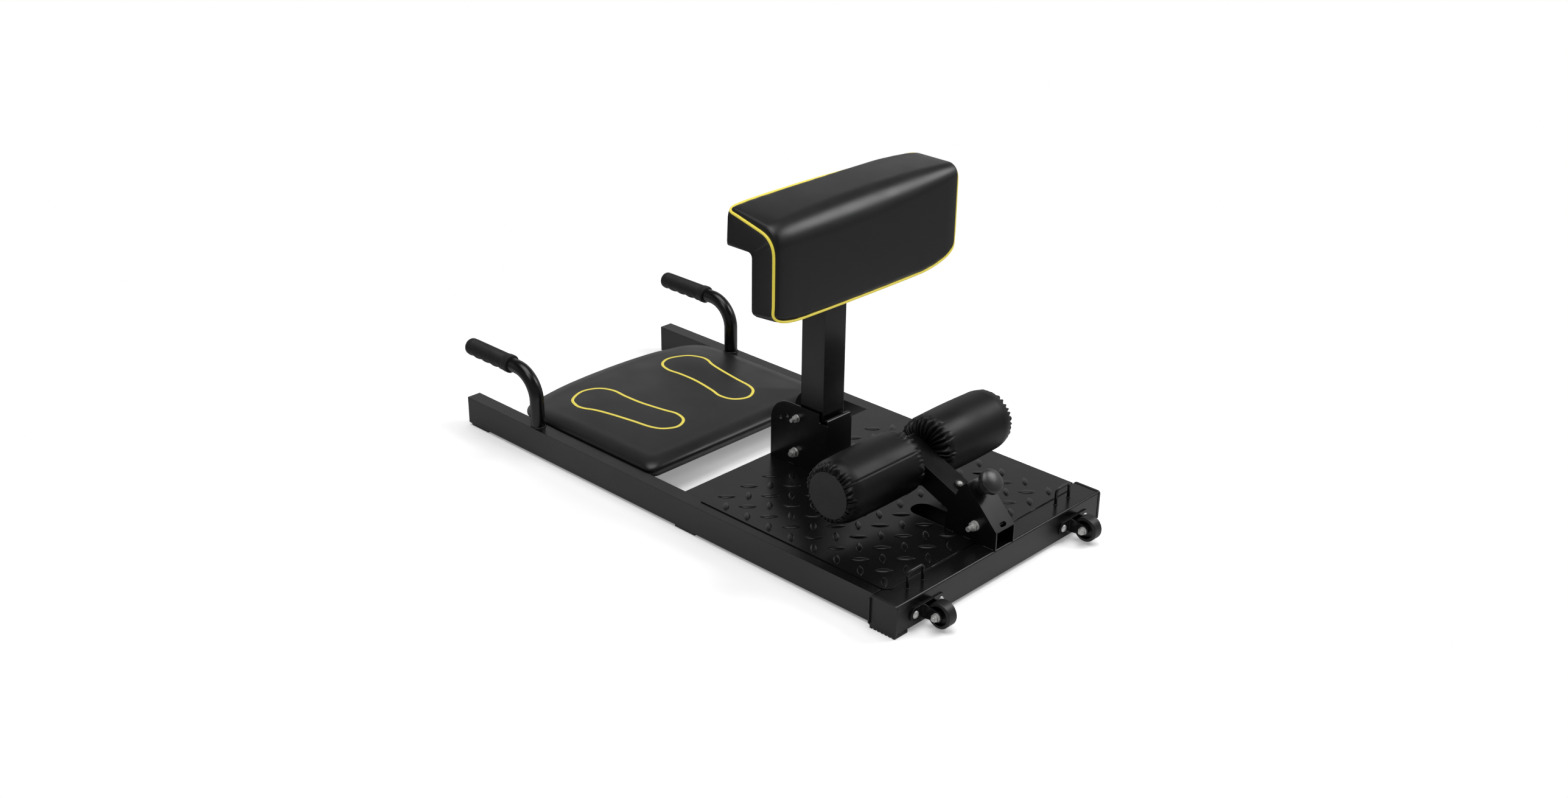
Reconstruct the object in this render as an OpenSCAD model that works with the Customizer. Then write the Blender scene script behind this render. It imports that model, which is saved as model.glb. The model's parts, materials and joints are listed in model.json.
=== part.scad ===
// Squat machine: a floor frame with a tread platform and padded foot rollers on a swinging arm,
// a calf pad on a hinged post, and a padded push-up board between two hand grips.
// Lengths are millimetres. Heights are from the floor, and y runs from the front beam to the rear.

/* [Frame] */
// Length from the front beam's front face to the rear ends of the rails
frame_l = 1230; // [1150:10:1400]
// Length of the front beam tube
beam_l = 606; // [603:1:640]
// Depth of the front beam and of the platform's cross tube
beam_w = 60; // [56:1:64]
// Height of the beam and of the rails
frame_h = 60; // [56:1:70]
// Distance between the centrelines of the two rails
rail_span = 569; // [556:1:570]
// Width of a rail
rail_w = 32; // [28:1:33]
// Wall of the frame tubes
tube_wall = 2; // [1.5:0.5:3]
// Height of the feet under the frame
foot_h = 6; // [4:1:12]
// Thickness of the plastic caps on the beam ends
cap_t = 5.5; // [3:0.5:6]
// Length of a foot under a rail
rail_foot_l = 56; // [40:2:58]

/* [Platform] */
// Thickness of the tread plate
plate_t = 2; // [1.5:0.5:3]
// Length of the tread plate
plate_l = 476; // [470:1:480]
// How far the tread plate lies over the front beam
plate_lap = 14; // [8:1:20]
// How far the tread plate lies over each rail
plate_side_lap = 9.5; // [6:0.5:14]
// How far the cross tube reaches under the plate's rear edge
cross_lap = 6; // [4:1:10]
// Width of the slot in the tread plate
slot_w = 49; // [40:1:54]
// Distance from the beam's front face to the rear end of the slot
slot_end = 220; // [190:1:240]
// Distance from the beam's front face to the front end of the slot
slot_start = 72; // [64:1:90]
// Width of a stiffener under the plate
stiffener_w = 30; // [20:1:40]
// Height of a stiffener under the plate
stiffener_h = 40; // [25:1:50]

/* [Push-up pad] */
// Gap between the cross tube and the pad's front edge
pad_gap = 102; // [80:1:120]
// Length of the push-up pad
pad_l = 448; // [400:2:460]
// Gap between the pad and each rail
pad_side_gap = 3.5; // [2:0.5:10]
// Thickness of the pad at its rim
pad_t = 26; // [20:1:36]
// Rise of the pad's middle above its rim
pad_crown = 4.5; // [3:0.5:12]
// Distance in from the rim over which the pad's top rises
crown_reach = 160; // [100:10:200]
// Radius of the pad's front corners
pad_front_r = 24; // [15:1:40]
// Radius of the pad's rear corners
pad_rear_r = 60; // [40:5:100]
// How far the pad's rear edge bows out in its middle
pad_arch = 24; // [10:1:30]
// Depth of the pad's underside below the rail tops
pad_drop = 10; // [4:1:12]
// Thickness of the boards under the pads
board_t = 12; // [9:1:13]
// How far the board stays inside the pad's outline
board_inset = 16; // [12:1:30]
// Width and height of the two tubes under the pad
pad_tube = 30; // [20:1:31]
// Distance from the pad's front edge to its front tube
pad_tube_front = 70; // [50:5:100]
// Distance from the pad's rear edge to its rear tube
pad_tube_rear = 120; // [90:5:150]

/* [Handles] */
// Radius of the handle tube
handle_r = 15; // [13:0.5:16]
// Wall of the handle tube
handle_wall = 2; // [1.5:0.5:3]
// Distance from the rails' rear ends to the handle's upright
handle_setback = 221; // [215:1:240]
// Height of the handle's level part above the rail
handle_rise = 117; // [90:1:150]
// Bend radius of the handle tube's centreline
bend_r = 60; // [50:1:66]
// Outer radius of the grip
grip_r = 18.25; // [17.5:0.25:21]
// Length of the grip
grip_l = 143; // [120:1:150]
// Number of finger grooves under a grip
grip_grooves = 4; // [3:1:5]

/* [Roller arm] */
// Width of the arm tube
arm_w = 50; // [49:1:60]
// Height of the arm tube
arm_h = 42; // [36:1:44]
// Wall of the arm tube
arm_wall = 2.5; // [2:0.5:3]
// Angle of the arm above the level at rest
arm_rest = 22.7; // [20:0.1:28]
// Distance from the pivot to the roller axis
arm_reach = 193; // [180:1:220]
// Length of the arm past the roller axis
arm_nose = 30; // [24:1:40]
// Distance from the pivot to the rubber stop
stop_reach = 78.7; // [72:0.1:84]
// Radius of the rubber stop
stop_r = 10; // [8:0.5:12]
// Height of the rubber stop
stop_h = 5; // [4:0.5:6]
// Running gap between the arm and each cheek of its bracket
cheek_gap = 0.2; // [0.1:0.05:0.5]

/* [Arm bracket] */
// Sheet thickness of the two folded brackets
sheet_t = 3; // [2.5:0.5:4]
// Distance from the beam's front face to the arm's pivot
arm_pivot_y = 49; // [46:1:52]
// Height of the arm's pivot above the beam
arm_pivot_h = 35.5; // [34:0.5:38]
// Height of the bracket's front edge above the beam
hood_front_h = 36; // [34:1:38]
// Distance from the front edge to the bracket's peak
hood_peak_y = 74.5; // [70:0.5:78]
// Height of the bracket's peak above the beam
hood_peak_h = 114; // [110:1:120]
// Length of the bracket's foot along the platform
hood_l = 121; // [118:1:130]
// Distance up the slope to the pull pin
pin_reach = 88; // [84:0.5:92]

/* [Pull pin] */
// Radius of the pull pin
pin_r = 5; // [4:0.5:6]
// How far the pin's tip stands below the bracket's sheet
pin_tip = 12; // [8:0.5:12]
// Radius of the threaded boss under the knob
boss_r = 14; // [13:0.5:16]
// Height of the boss
boss_h = 12; // [12:0.5:16]
// Largest radius of the knob
knob_r = 25; // [21:0.5:26]
// Height of the knob
knob_h = 28; // [25:1:32]
// Number of flutes round the knob
knob_flutes = 7; // [5:1:9]

/* [Rollers] */
// Radius of a foot roller
roller_r = 63.5; // [56:0.5:66]
// Length of a foot roller
roller_l = 214; // [200:1:230]
// Gap between the arm and a roller
roller_gap = 1.5; // [1:0.25:3]
// Radius of the rollers' cross tube
axle_r = 12.5; // [10:0.5:15]
// Wall of the rollers' cross tube
axle_wall = 2; // [1.5:0.5:3]
// Wall of the plastic core in a roller
core_wall = 2.5; // [2:0.5:4]
// Radius of the disc at a roller's outer end
disc_r = 46; // [40:1:50]
// Thickness of that disc
disc_t = 3; // [2:0.5:5]

/* [Post] */
// Width and depth of the post tube
post_w = 60; // [50:1:62]
// Distance from the beam's front face to the post
post_y = 433; // [430:1:440]
// Gap between the post and each side of its bracket
post_side_gap = 3.2; // [2:0.1:5]
// Gap between the post's front and the bracket's front wall
post_front_gap = 13.6; // [12:0.2:18]
// Height of the post's lower end above the platform
post_lift = 10; // [8:1:16]
// Height of the post's pivot above the beam
post_pivot_h = 31; // [28:1:36]
// Height of the stop bolt above the pivot
stop_bolt_rise = 76; // [70:1:80]
// Outer radius of the hinge sleeve on the post
sleeve_r = 7.5; // [7:0.25:9]
// Angle of the second stop hole behind the first
second_stop = 21; // [18:1:24]
// Angle of the third stop hole behind the first
third_stop = 36; // [33:1:40]
// Radius of the rolled lip on the bracket's front wall
lip_r = 5; // [4:0.5:6]
// Height of the bracket's sides above the beam
bracket_h = 135; // [130:1:145]
// Distance from the post's front to the bracket's rear edge
bracket_reach = 136; // [132:1:150]
// Depth of the notch at the front of the bracket's sides
notch_drop = 20; // [12:1:30]

/* [Calf pad] */
// Width of the calf pad
calf_w = 509; // [440:1:540]
// Height of the calf pad's level underside above the beam
calf_seat_h = 533; // [480:1:600]
// Distance from the post's front to the pad's back
calf_back_gap = 23; // [20:1:30]
// Thickness of the pad's front arm
calf_front_t = 64; // [50:1:70]
// Thickness of the pad's top arm at its rear edge
calf_top_t = 77; // [60:1:85]
// Depth of the level underside, from the pad's back to its rear edge
calf_seat_l = 64; // [58:1:70]
// Drop of the front arm below the level underside
calf_drop = 131; // [110:1:150]
// How far the pad is drawn in at its ends
calf_crown = 10; // [5:0.5:14]
// Thickness of the plates of the pad's bracket
calf_plate_t = 4; // [3:0.5:5]
// Width of the pad's bracket
calf_plate_w = 120; // [90:1:160]

/* [Band loops] */
// Width of a band loop between the centres of its legs
loop_w = 42; // [36:1:50]
// Height of a band loop
loop_h = 35; // [28:1:45]
// Radius of the loop's rod
loop_r = 3; // [2.5:0.25:4]
// Distance of the band loops and the wheels from the beam's ends
fit_setback = 81; // [75:1:100]

/* [Wheels] */
// Radius of a transport wheel
wheel_r = 25; // [18:0.5:26]
// Width of a transport wheel
wheel_w = 23; // [18:0.5:26]
// Distance from the beam's front face to the wheel axle
wheel_reach = 34.5; // [32:0.5:38]
// Height of the axle above the beam's underside
wheel_lift = 25; // [25:0.5:33]
// Distance between the two screws of a wheel bracket
flange_span = 70; // [68:1:76]
// Height of the wheel bracket's strip
flange_h = 28; // [24:1:30]
// Radius of the wheel bracket's ears round the axle
ear_r = 10.5; // [9:0.5:12]

/* [Hidden] */

steel_black = [0.10, 0.10, 0.11];
vinyl_black = [0.13, 0.13, 0.14];
plastic_black = [0.07, 0.07, 0.08];
plastic_grey = [0.35, 0.36, 0.38];
rubber_black = [0.05, 0.05, 0.05];
zinc = [0.72, 0.73, 0.75];
plywood = [0.62, 0.48, 0.32];

$fn = 64;
fit = 0.05;
slip = 0.3;
cut = 1;

// Levels and stations that several pieces share
beam_top = foot_h + frame_h;
plate_top = beam_top + plate_t;
plate_y = beam_w - plate_lap;
plate_end = plate_y + plate_l;
plate_w = rail_span - rail_w + 2 * plate_side_lap;
inner_w = rail_span - rail_w;
cross_y = plate_end - cross_lap;
cross_end = cross_y + beam_w;
wheel_front = wheel_reach + wheel_r;
mid_y = (frame_l - wheel_front) / 2;
rail_x = rail_span / 2;
side_fit_x = beam_l / 2 - fit_setback;

// Thread radii: M10 on the arm and the post's pivot, M8 elsewhere, M6 on boards. Heads, nuts and
// washers are given as multiples of the thread's radius.
m10 = 5;
m8 = 4;
m6 = 3;
head_r = 1.8;
head_h = 1.3;
nut_r = 1.9;
nut_h = 1.5;
nut_collar_r = 1.5;
nut_collar_h = 1.8;
washer_r = 2;
stiffener_x = slot_w / 2 + 5 + stiffener_w / 2;

// Arm and its bracket
hood_w = arm_w + 2 * cheek_gap + 2 * sheet_t;
arm_pivot_z = beam_top + arm_pivot_h;
slope = atan2(hood_peak_h - hood_front_h, hood_peak_y);
pivot_depth = arm_pivot_y * sin(slope) - (arm_pivot_h - hood_front_h) * cos(slope);
tail_angle = slope - arm_rest;
arm_tail = (pivot_depth - sheet_t - slip - arm_h / 2 * cos(tail_angle)) / sin(tail_angle);
arm_l = arm_tail + arm_reach + arm_nose;
roller_x = arm_w / 2 + roller_gap;
core_r = axle_r + fit + core_wall;
barrel_r = pin_r + 5;
barrel_l = sheet_t + pin_tip - 4;
chamber_low = 1.5 - barrel_l;
chamber_top = boss_h - 2;
pin_collar = 1.5;
knob_bore = 16;

// Post and its bracket
post_back = post_y + post_w;
bracket_y = post_y - post_front_gap - sheet_t;
bracket_in = post_w + 2 * post_side_gap;
bracket_w = bracket_in + 2 * sheet_t;
bracket_end = post_y + bracket_reach;
post_pivot_y = post_back + sleeve_r;
post_pivot_z = beam_top + post_pivot_h;
stop_bolt_y = post_back + m8 + 2 * fit;
stop_bolt_z = post_pivot_z + stop_bolt_rise;
calf_seat_z = beam_top + calf_seat_h;
calf_back_y = post_y - calf_back_gap;
post_bottom = plate_top + post_lift;
post_top = calf_seat_z - calf_plate_t;
calf_rear_y = calf_back_y + calf_seat_l;
calf_plate_z = calf_seat_z - calf_drop + 20;
inner_round = 10;

// Push-up pad
pad_y = cross_end + pad_gap;
pad_w = inner_w - 2 * pad_side_gap;
pad_z = beam_top - pad_drop;
pad_board_z = pad_z - board_t;
pad_tube_y = [pad_y + pad_tube_front, pad_y + pad_l - pad_tube_rear - pad_tube];

// Handles
handle_y = frame_l - handle_setback;
handle_z = beam_top + handle_rise;
wheel_z = foot_h + wheel_lift;
ear_in = wheel_w / 2 + 1;
ear_out = ear_in + sheet_t;

// Stands every piece about the middle of the floor under the machine
module placed() {
    translate([0, -mid_y, 0]) children();
}

// A block centred on x, from y to y + size
module block(x, y, z, size) {
    translate([x - size.x / 2, y, z]) cube(size);
}

// A cylinder along +x from x to x + l
module rod_x(x, y, z, r, l, sides = 64) {
    translate([x, y, z]) rotate([0, 90, 0]) cylinder(r = r, h = l, $fn = sides);
}

// A sheet standing square to x, from an outline of [y, z] points
module sheet_x(x, t, outline) {
    translate([x, 0, 0]) rotate([90, 0, 90]) linear_extrude(t) polygon(outline);
}

// Points of an arc about c, from angle a to angle b
function arc(c, r, a, b, steps = 8) =
    [for (i = [0:steps]) c + r * [cos(a + (b - a) * i / steps), sin(a + (b - a) * i / steps)]];

// Points that round the corner p between its neighbours a and b
function corner(a, p, b, r, steps) =
    let (u = (a - p) / norm(a - p), v = (b - p) / norm(b - p))
    let (half = acos(u * v) / 2, reach = r / tan(half))
    let (centre = p + (u + v) / norm(u + v) * r / sin(half))
    let (from = p + u * reach - centre, to = p + v * reach - centre)
    let (start = atan2(from.y, from.x), turn = atan2(to.y, to.x) - start)
    let (sweep = turn > 180 ? turn - 360 : turn < -180 ? turn + 360 : turn)
    arc(centre, r, start, start + sweep, steps);

// An outline whose corners [y, z, radius] are rounded
function rounded(pts, steps = 5) =
    let (n = len(pts))
    [for (i = [0:n - 1])
        let (a = pts[(i + n - 1) % n], p = pts[i], b = pts[(i + 1) % n])
        each (p[2] > 0 ? corner([a.x, a.y], [p.x, p.y], [b.x, b.y], p[2], steps) : [[p.x, p.y]])];

// Skin over rings of one even count, each turning right-handed about the way from ring to ring.
// Strips between point i and point n - i close the ends.
module skin(rings) {
    n = len(rings[0]);
    last = len(rings) - 1;
    sides = [for (k = [0:last - 1]) for (i = [0:n - 1]) let (j = (i + 1) % n)
        each [[k * n + i, (k + 1) * n + j, k * n + j], [k * n + i, (k + 1) * n + i, (k + 1) * n + j]]];
    far = last * n;
    ends = [for (i = [0:n / 2 - 2]) let (a = n - 2 - i, b = n - 1 - i)
        each [[i, i + 1, a], [i, a, b], [far + i, far + a, far + i + 1], [far + i, far + b, far + a]]];
    polyhedron([for (ring = rings) each ring], concat(sides, ends), convexity = 6);
}

// A hexagon bolt along x with its head at +x; grip is what it clamps, between -grip/2 and +grip/2
module bolt_x(r, grip, tail, washer_t) {
    rod_x(-grip / 2 - tail, 0, 0, r, grip + tail + washer_t);
    rod_x(grip / 2 + washer_t, 0, 0, head_r * r, head_h * r, 6);
}

// A washer and a lock nut on the -x end of such a bolt
module nut_x(r, grip, washer_t) {
    difference() {
        union() {
            rod_x(-grip / 2 - washer_t, 0, 0, washer_r * r, washer_t);
            rod_x(-grip / 2 - washer_t - nut_h * r, 0, 0, nut_r * r, nut_h * r, 6);
            rod_x(-grip / 2 - washer_t - nut_collar_h * r, 0, 0, nut_collar_r * r, nut_collar_h * r);
        }
        rod_x(-grip / 2 - 4 * r, 0, 0, r + fit, 5 * r);
    }
}

// A washer alone, on the +x side under a bolt's head
module washer_x(r, grip, washer_t) {
    difference() {
        rod_x(grip / 2, 0, 0, washer_r * r, washer_t);
        rod_x(grip / 2 - cut, 0, 0, r + fit, washer_t + 2 * cut);
    }
}

// Frame

module front_beam() placed() color(steel_black) {
    difference() {
        translate([-beam_l / 2, 0, foot_h]) rotate([90, 0, 90]) linear_extrude(beam_l)
            polygon(rounded([[0, 0, 3.5], [beam_w, 0, 3.5], [beam_w, frame_h, 3.5], [0, frame_h, 3.5]]));
        translate([-beam_l / 2 - cut, tube_wall, foot_h + tube_wall])
            cube([beam_l + 2 * cut, beam_w - 2 * tube_wall, frame_h - 2 * tube_wall]);
        for (side = [-1, 1]) for (end = [-1, 1])
            translate([side * side_fit_x + end * flange_span / 2, -cut, wheel_z])
                rotate([-90, 0, 0]) cylinder(r = m8 + fit, h = tube_wall + 2 * cut);
    }
}

module rail(side) {
    difference() {
        block(side * rail_x, beam_w, foot_h, [rail_w, frame_l - beam_w - tube_wall, frame_h]);
        block(side * rail_x, beam_w - cut, foot_h + tube_wall,
            [rail_w - 2 * tube_wall, frame_l - beam_w + 2 * cut, frame_h - 2 * tube_wall]);
    }
}

module left_rail() placed() color(steel_black) rail(-1);

module right_rail() placed() color(steel_black) rail(1);

module rail_end_plates() placed() color(steel_black) {
    for (side = [-1, 1])
        block(side * rail_x, frame_l - tube_wall, foot_h, [rail_w, tube_wall, frame_h]);
}

module cross_tube(y, z, w, h) {
    difference() {
        block(0, y, z, [inner_w, w, h]);
        block(0, y + tube_wall, z + tube_wall,
            [inner_w + 2 * cut, w - 2 * tube_wall, h - 2 * tube_wall]);
    }
}

module platform_cross_tube() placed() color(steel_black)
    cross_tube(cross_y, foot_h, beam_w, frame_h);

// Two tubes under the plate, beside the slot, that carry the arm bracket and the post bracket
module platform_stiffeners() placed() color(steel_black) {
    for (side = [-1, 1]) difference() {
        block(side * stiffener_x, beam_w, beam_top - stiffener_h,
            [stiffener_w, cross_y - beam_w, stiffener_h]);
        block(side * stiffener_x, beam_w - cut, beam_top - stiffener_h + tube_wall,
            [stiffener_w - 2 * tube_wall, cross_y - beam_w + 2 * cut, stiffener_h - 2 * tube_wall]);
    }
}

module tread_plate() placed() color(steel_black) {
    edge_cut = 12;
    difference() {
        translate([0, 0, beam_top]) linear_extrude(plate_t) polygon([
            [-plate_w / 2 + edge_cut, plate_y], [plate_w / 2 - edge_cut, plate_y],
            [plate_w / 2, plate_y + edge_cut], [plate_w / 2, plate_end],
            [-plate_w / 2, plate_end], [-plate_w / 2, plate_y + edge_cut]]);
        for (y = [slot_start + slot_w / 2, slot_end - slot_w / 2])
            translate([0, y, beam_top - cut]) cylinder(r = slot_w / 2, h = plate_t + 2 * cut);
        block(0, slot_start + slot_w / 2, beam_top - cut,
            [slot_w, slot_end - slot_start - slot_w, plate_t + 2 * cut]);
    }
}

// Cap on a beam end: plug, side plate with a flared rear lip, and a ribbed foot below
module beam_cap(side) {
    plug_gap = tube_wall + slip;
    plug_l = 22;
    plug_wall = 3;
    groove = 3.2;
    lip = 3.5;
    foot_l = 30;
    ribs = 7;
    rib_pitch = beam_w / ribs;
    translate([side * beam_l / 2, 0, 0]) mirror([side < 0 ? 1 : 0, 0, 0]) {
        difference() {
            union() {
                sheet_x(0, cap_t, rounded([[-1, foot_h - 1, 4], [beam_w + 1, foot_h - 1, 4],
                    [beam_w + 1, beam_top + 1, 6], [-1, beam_top + 1, 6]]));
                sheet_x(cap_t, lip, [[beam_w - 2, foot_h + 4], [beam_w + 1, foot_h + 4],
                    [beam_w + 1, beam_top - 5], [beam_w - 2, beam_top - 5]]);
                block(cap_t / 2, 1, 0, [cap_t, beam_w - 2, foot_h]);
                translate([-foot_l, 1, 0]) cube([foot_l, beam_w - 2, foot_h]);
                difference() {
                    translate([-plug_l, plug_gap, foot_h + plug_gap])
                        cube([plug_l, beam_w - 2 * plug_gap, frame_h - 2 * plug_gap]);
                    translate([-plug_l - cut, plug_gap + plug_wall, foot_h + plug_gap + plug_wall])
                        cube([plug_l, beam_w - 2 * (plug_gap + plug_wall),
                            frame_h - 2 * (plug_gap + plug_wall)]);
                }
            }
            for (i = [1:ribs - 1]) translate([-foot_l - cut, i * rib_pitch, 0])
                rotate([45, 0, 0]) translate([0, -groove / 2, -groove / 2])
                    cube([foot_l + cap_t + 2 * cut, groove, groove]);
        }
    }
}

module left_beam_cap() placed() color(plastic_black) beam_cap(-1);

module right_beam_cap() placed() color(plastic_black) beam_cap(1);

module rail_feet() placed() color(rubber_black) {
    first_y = cross_y + beam_w / 2 - rail_foot_l / 2;
    last_y = frame_l - rail_foot_l - 8;
    step = 2;
    for (side = [-1, 1]) for (y = [first_y, last_y]) {
        block(side * rail_x, y, step, [rail_w - step, rail_foot_l, foot_h - step]);
        block(side * rail_x, y + step, 0, [rail_w - 3 * step, rail_foot_l - 2 * step, step]);
    }
}

// Push-up pad

module pad_cross_tubes() placed() color(steel_black) difference() {
    for (y = pad_tube_y) cross_tube(y, pad_board_z - pad_tube, pad_tube, pad_tube);
    pad_screw_places() translate([0, 0, -pad_tube - cut])
        cylinder(r = m6 + fit, h = pad_tube + 2 * cut);
}

// Calls its children at each pad screw, on the board's underside
module pad_screw_places() {
    for (y = pad_tube_y) for (side = [-1, 1])
        translate([side * pad_w / 4, y + pad_tube / 2, pad_board_z]) children();
}

// The pad's outline [x, y], drawn in by d: tight front corners, wide rear ones and an arched rear
function pad_outline(d) =
    let (w = pad_w / 2 - d, front = pad_y + d, rear = pad_y + pad_l - d)
    let (fr = max(pad_front_r - d * 0.3, 6), rr = max(pad_rear_r - d * 0.3, 10))
    rounded(concat([[-w, front, fr], [w, front, fr], [w, rear - pad_arch, rr]],
        [for (t = [0.6, 0.3, -0.3, -0.6]) [w * t, rear - pad_arch * t * t, 0]],
        [[-w, rear - pad_arch, rr]]), 6);

// How much of its height the padding keeps at p: it is thinner towards its rear corners
function pad_fullness(p) =
    let (q = norm([abs(p.x) - pad_w / 2, p.y - pad_y - pad_l + pad_arch / 2]) / 90)
    1 - 0.3 * exp(-q * q);

module push_up_pad_board() placed() color(plywood) difference() {
    translate([0, 0, pad_board_z]) linear_extrude(board_t) polygon(pad_outline(board_inset));
    pad_screw_places() translate([0, 0, -cut]) cylinder(r = m6 + fit, h = board_t + 2 * cut);
}

// Each ring is [draw-in, height above the underside] from the back edge over the rim to the crown
module push_up_pad() placed() color(vinyl_black) {
    rim = 15;
    rim_w = 26;
    swell = pad_t - rim;
    side_rings = [[5, 0], [1.5, 3], [0, 7], [0.2, swell]];
    rim_rings = [for (a = [15:15:75]) [rim_w * (1 - cos(a)), swell + rim * sin(a)]];
    top_rings = [for (s = [0, 0.2, 0.42, 0.68, 1])
        [rim_w + crown_reach * s, pad_t + pad_crown * (1 - (1 - s) * (1 - s))]];
    rings = concat(side_rings, rim_rings, top_rings);
    difference() {
        skin([for (ring = rings) [for (p = pad_outline(ring[0]))
            [p.x, p.y, pad_z + ring[1] * pad_fullness(p)]]]);
        pad_screw_places() translate([0, 0, board_t - cut]) cylinder(r = m6 + fit, h = 6 + cut);
    }
}

module push_up_pad_screws() placed() color(zinc) pad_screw_places() {
    translate([0, 0, -pad_tube]) cylinder(r = m6, h = pad_tube + board_t + 4);
    translate([0, 0, -pad_tube - 3]) cylinder(r1 = 1.6 * m6, r2 = 2 * m6, h = 3);
}

// Handles

module handle_path(r, extra) {
    level_l = frame_l - 4 - handle_y - bend_r;
    translate([0, handle_y, beam_top - extra]) cylinder(r = r, h = handle_z - bend_r - beam_top + extra);
    translate([0, handle_y + bend_r, handle_z - bend_r]) rotate([90, 0, -90])
        rotate_extrude(angle = 90) translate([bend_r, 0]) circle(r = r);
    translate([0, handle_y + bend_r, handle_z]) rotate([-90, 0, 0])
        cylinder(r = r, h = level_l + extra);
}

module handle_tube(side) translate([side * rail_x, 0, 0]) difference() {
    handle_path(handle_r, 0);
    handle_path(handle_r - handle_wall, cut);
}

module left_handle_tube() placed() color(steel_black) handle_tube(-1);

module right_handle_tube() placed() color(steel_black) handle_tube(1);

// Closed rubber sleeve with a collar in front and finger grooves below
module grip(side) {
    collar_l = 14;
    collar_r = grip_r + 1.5;
    end_r = 8;
    groove_r = 17;
    groove_pitch = (grip_l - collar_l - 14) / grip_grooves;
    translate([side * rail_x, frame_l, handle_z]) rotate([90, 0, 0]) difference() {
        rotate_extrude() polygon(concat([[0, 0]],
            arc([grip_r - end_r, end_r], end_r, -90, 0, 6),
            [[grip_r, grip_l - collar_l - 2]],
            arc([collar_r - 2, grip_l - collar_l + 1], 2, 0, 60, 3),
            [[collar_r, grip_l - collar_l + 2]],
            arc([collar_r - 2, grip_l - 2], 2, 0, 90, 3), [[0, grip_l]]));
        translate([0, 0, 4]) cylinder(r = handle_r + fit, h = grip_l);
        for (i = [0:grip_grooves - 1])
            translate([-grip_r - cut, -grip_r - groove_r + 2, 10 + (i + 0.5) * groove_pitch])
                rotate([0, 90, 0]) cylinder(r = groove_r, h = 2 * grip_r + 2 * cut);
    }
}

module left_grip() placed() color(rubber_black) grip(-1);

module right_grip() placed() color(rubber_black) grip(1);

// Arm bracket and its pull pin

// Outline of a cheek of the arm bracket as [y, height above the beam]
hood_outline = [[0, 0], [plate_y - slip, 0], [plate_y - slip, plate_t], [hood_l, plate_t],
    [hood_l - 1, plate_t + 30], [hood_peak_y + 15.5, hood_peak_h - 14], [hood_peak_y, hood_peak_h],
    [0, hood_front_h]];

// Section of the bracket's sloping sheet, from the same corners
slope_outline = [[0, hood_front_h], [hood_peak_y, hood_peak_h],
    [hood_peak_y + sheet_t * sin(slope), hood_peak_h - sheet_t * cos(slope)],
    [sheet_t * sin(slope), hood_front_h - sheet_t * cos(slope)]];

// Turns its children so that x is across, y up the slope and z square out of it
module on_slope(s) {
    translate([0, s * cos(slope), beam_top + hood_front_h + s * sin(slope)])
        rotate([slope, 0, 0]) children();
}

module arm_bracket() placed() color(steel_black) difference() {
    oblong_r = 4.5;
    oblong_reach = 10;
    union() {
        for (side = [-1, 1]) translate([0, 0, beam_top])
            sheet_x(side * (hood_w - sheet_t) / 2 - sheet_t / 2, sheet_t, hood_outline);
        translate([0, 0, beam_top])
            sheet_x(-hood_w / 2 + sheet_t / 2, hood_w - sheet_t, slope_outline);
    }
    rod_x(-hood_w, arm_pivot_y, arm_pivot_z, m10 + fit, 2 * hood_w);
    on_slope(pin_reach) translate([0, 0, -sheet_t - cut])
        cylinder(r = barrel_r + fit, h = sheet_t + 2 * cut);
    on_slope(oblong_reach) translate([0, 0, -sheet_t - cut]) linear_extrude(sheet_t + 2 * cut)
        polygon(concat(arc([oblong_r, 0], oblong_r, -90, 90, 12),
            arc([-oblong_r, 0], oblong_r, 90, 270, 12)));
}

module at_arm_pivot() {
    translate([0, arm_pivot_y, arm_pivot_z]) children();
}

module arm_pivot_bolt() placed() color(zinc) at_arm_pivot() {
    bolt_x(m10, hood_w, 23, 2);
    washer_x(m10, hood_w, 2 - fit);
}

module arm_pivot_nut() placed() color(zinc) at_arm_pivot() nut_x(m10, hood_w, 2);

// Threaded boss: a collar on the sheet and a barrel through it, with the spring's chamber inside
module arm_pin_boss() placed() color(plastic_black) on_slope(pin_reach) difference() {
    union() {
        cylinder(r = boss_r, h = boss_h);
        translate([0, 0, -barrel_l]) cylinder(r = barrel_r, h = barrel_l + cut);
    }
    translate([0, 0, -barrel_l - cut]) cylinder(r = pin_r + fit, h = barrel_l + boss_h + 2 * cut);
    translate([0, 0, chamber_low]) cylinder(r = barrel_r - 2, h = chamber_top - chamber_low);
}

// Pin with the collar that presses on the spring when the knob is pulled
module arm_pin() placed() color(zinc) on_slope(pin_reach) {
    translate([0, 0, -sheet_t - pin_tip]) cylinder(r = pin_r, h = sheet_t + pin_tip + boss_h + knob_bore);
    translate([0, 0, chamber_low + slip]) cylinder(r = barrel_r - 2 - slip, h = pin_collar);
}

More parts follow.
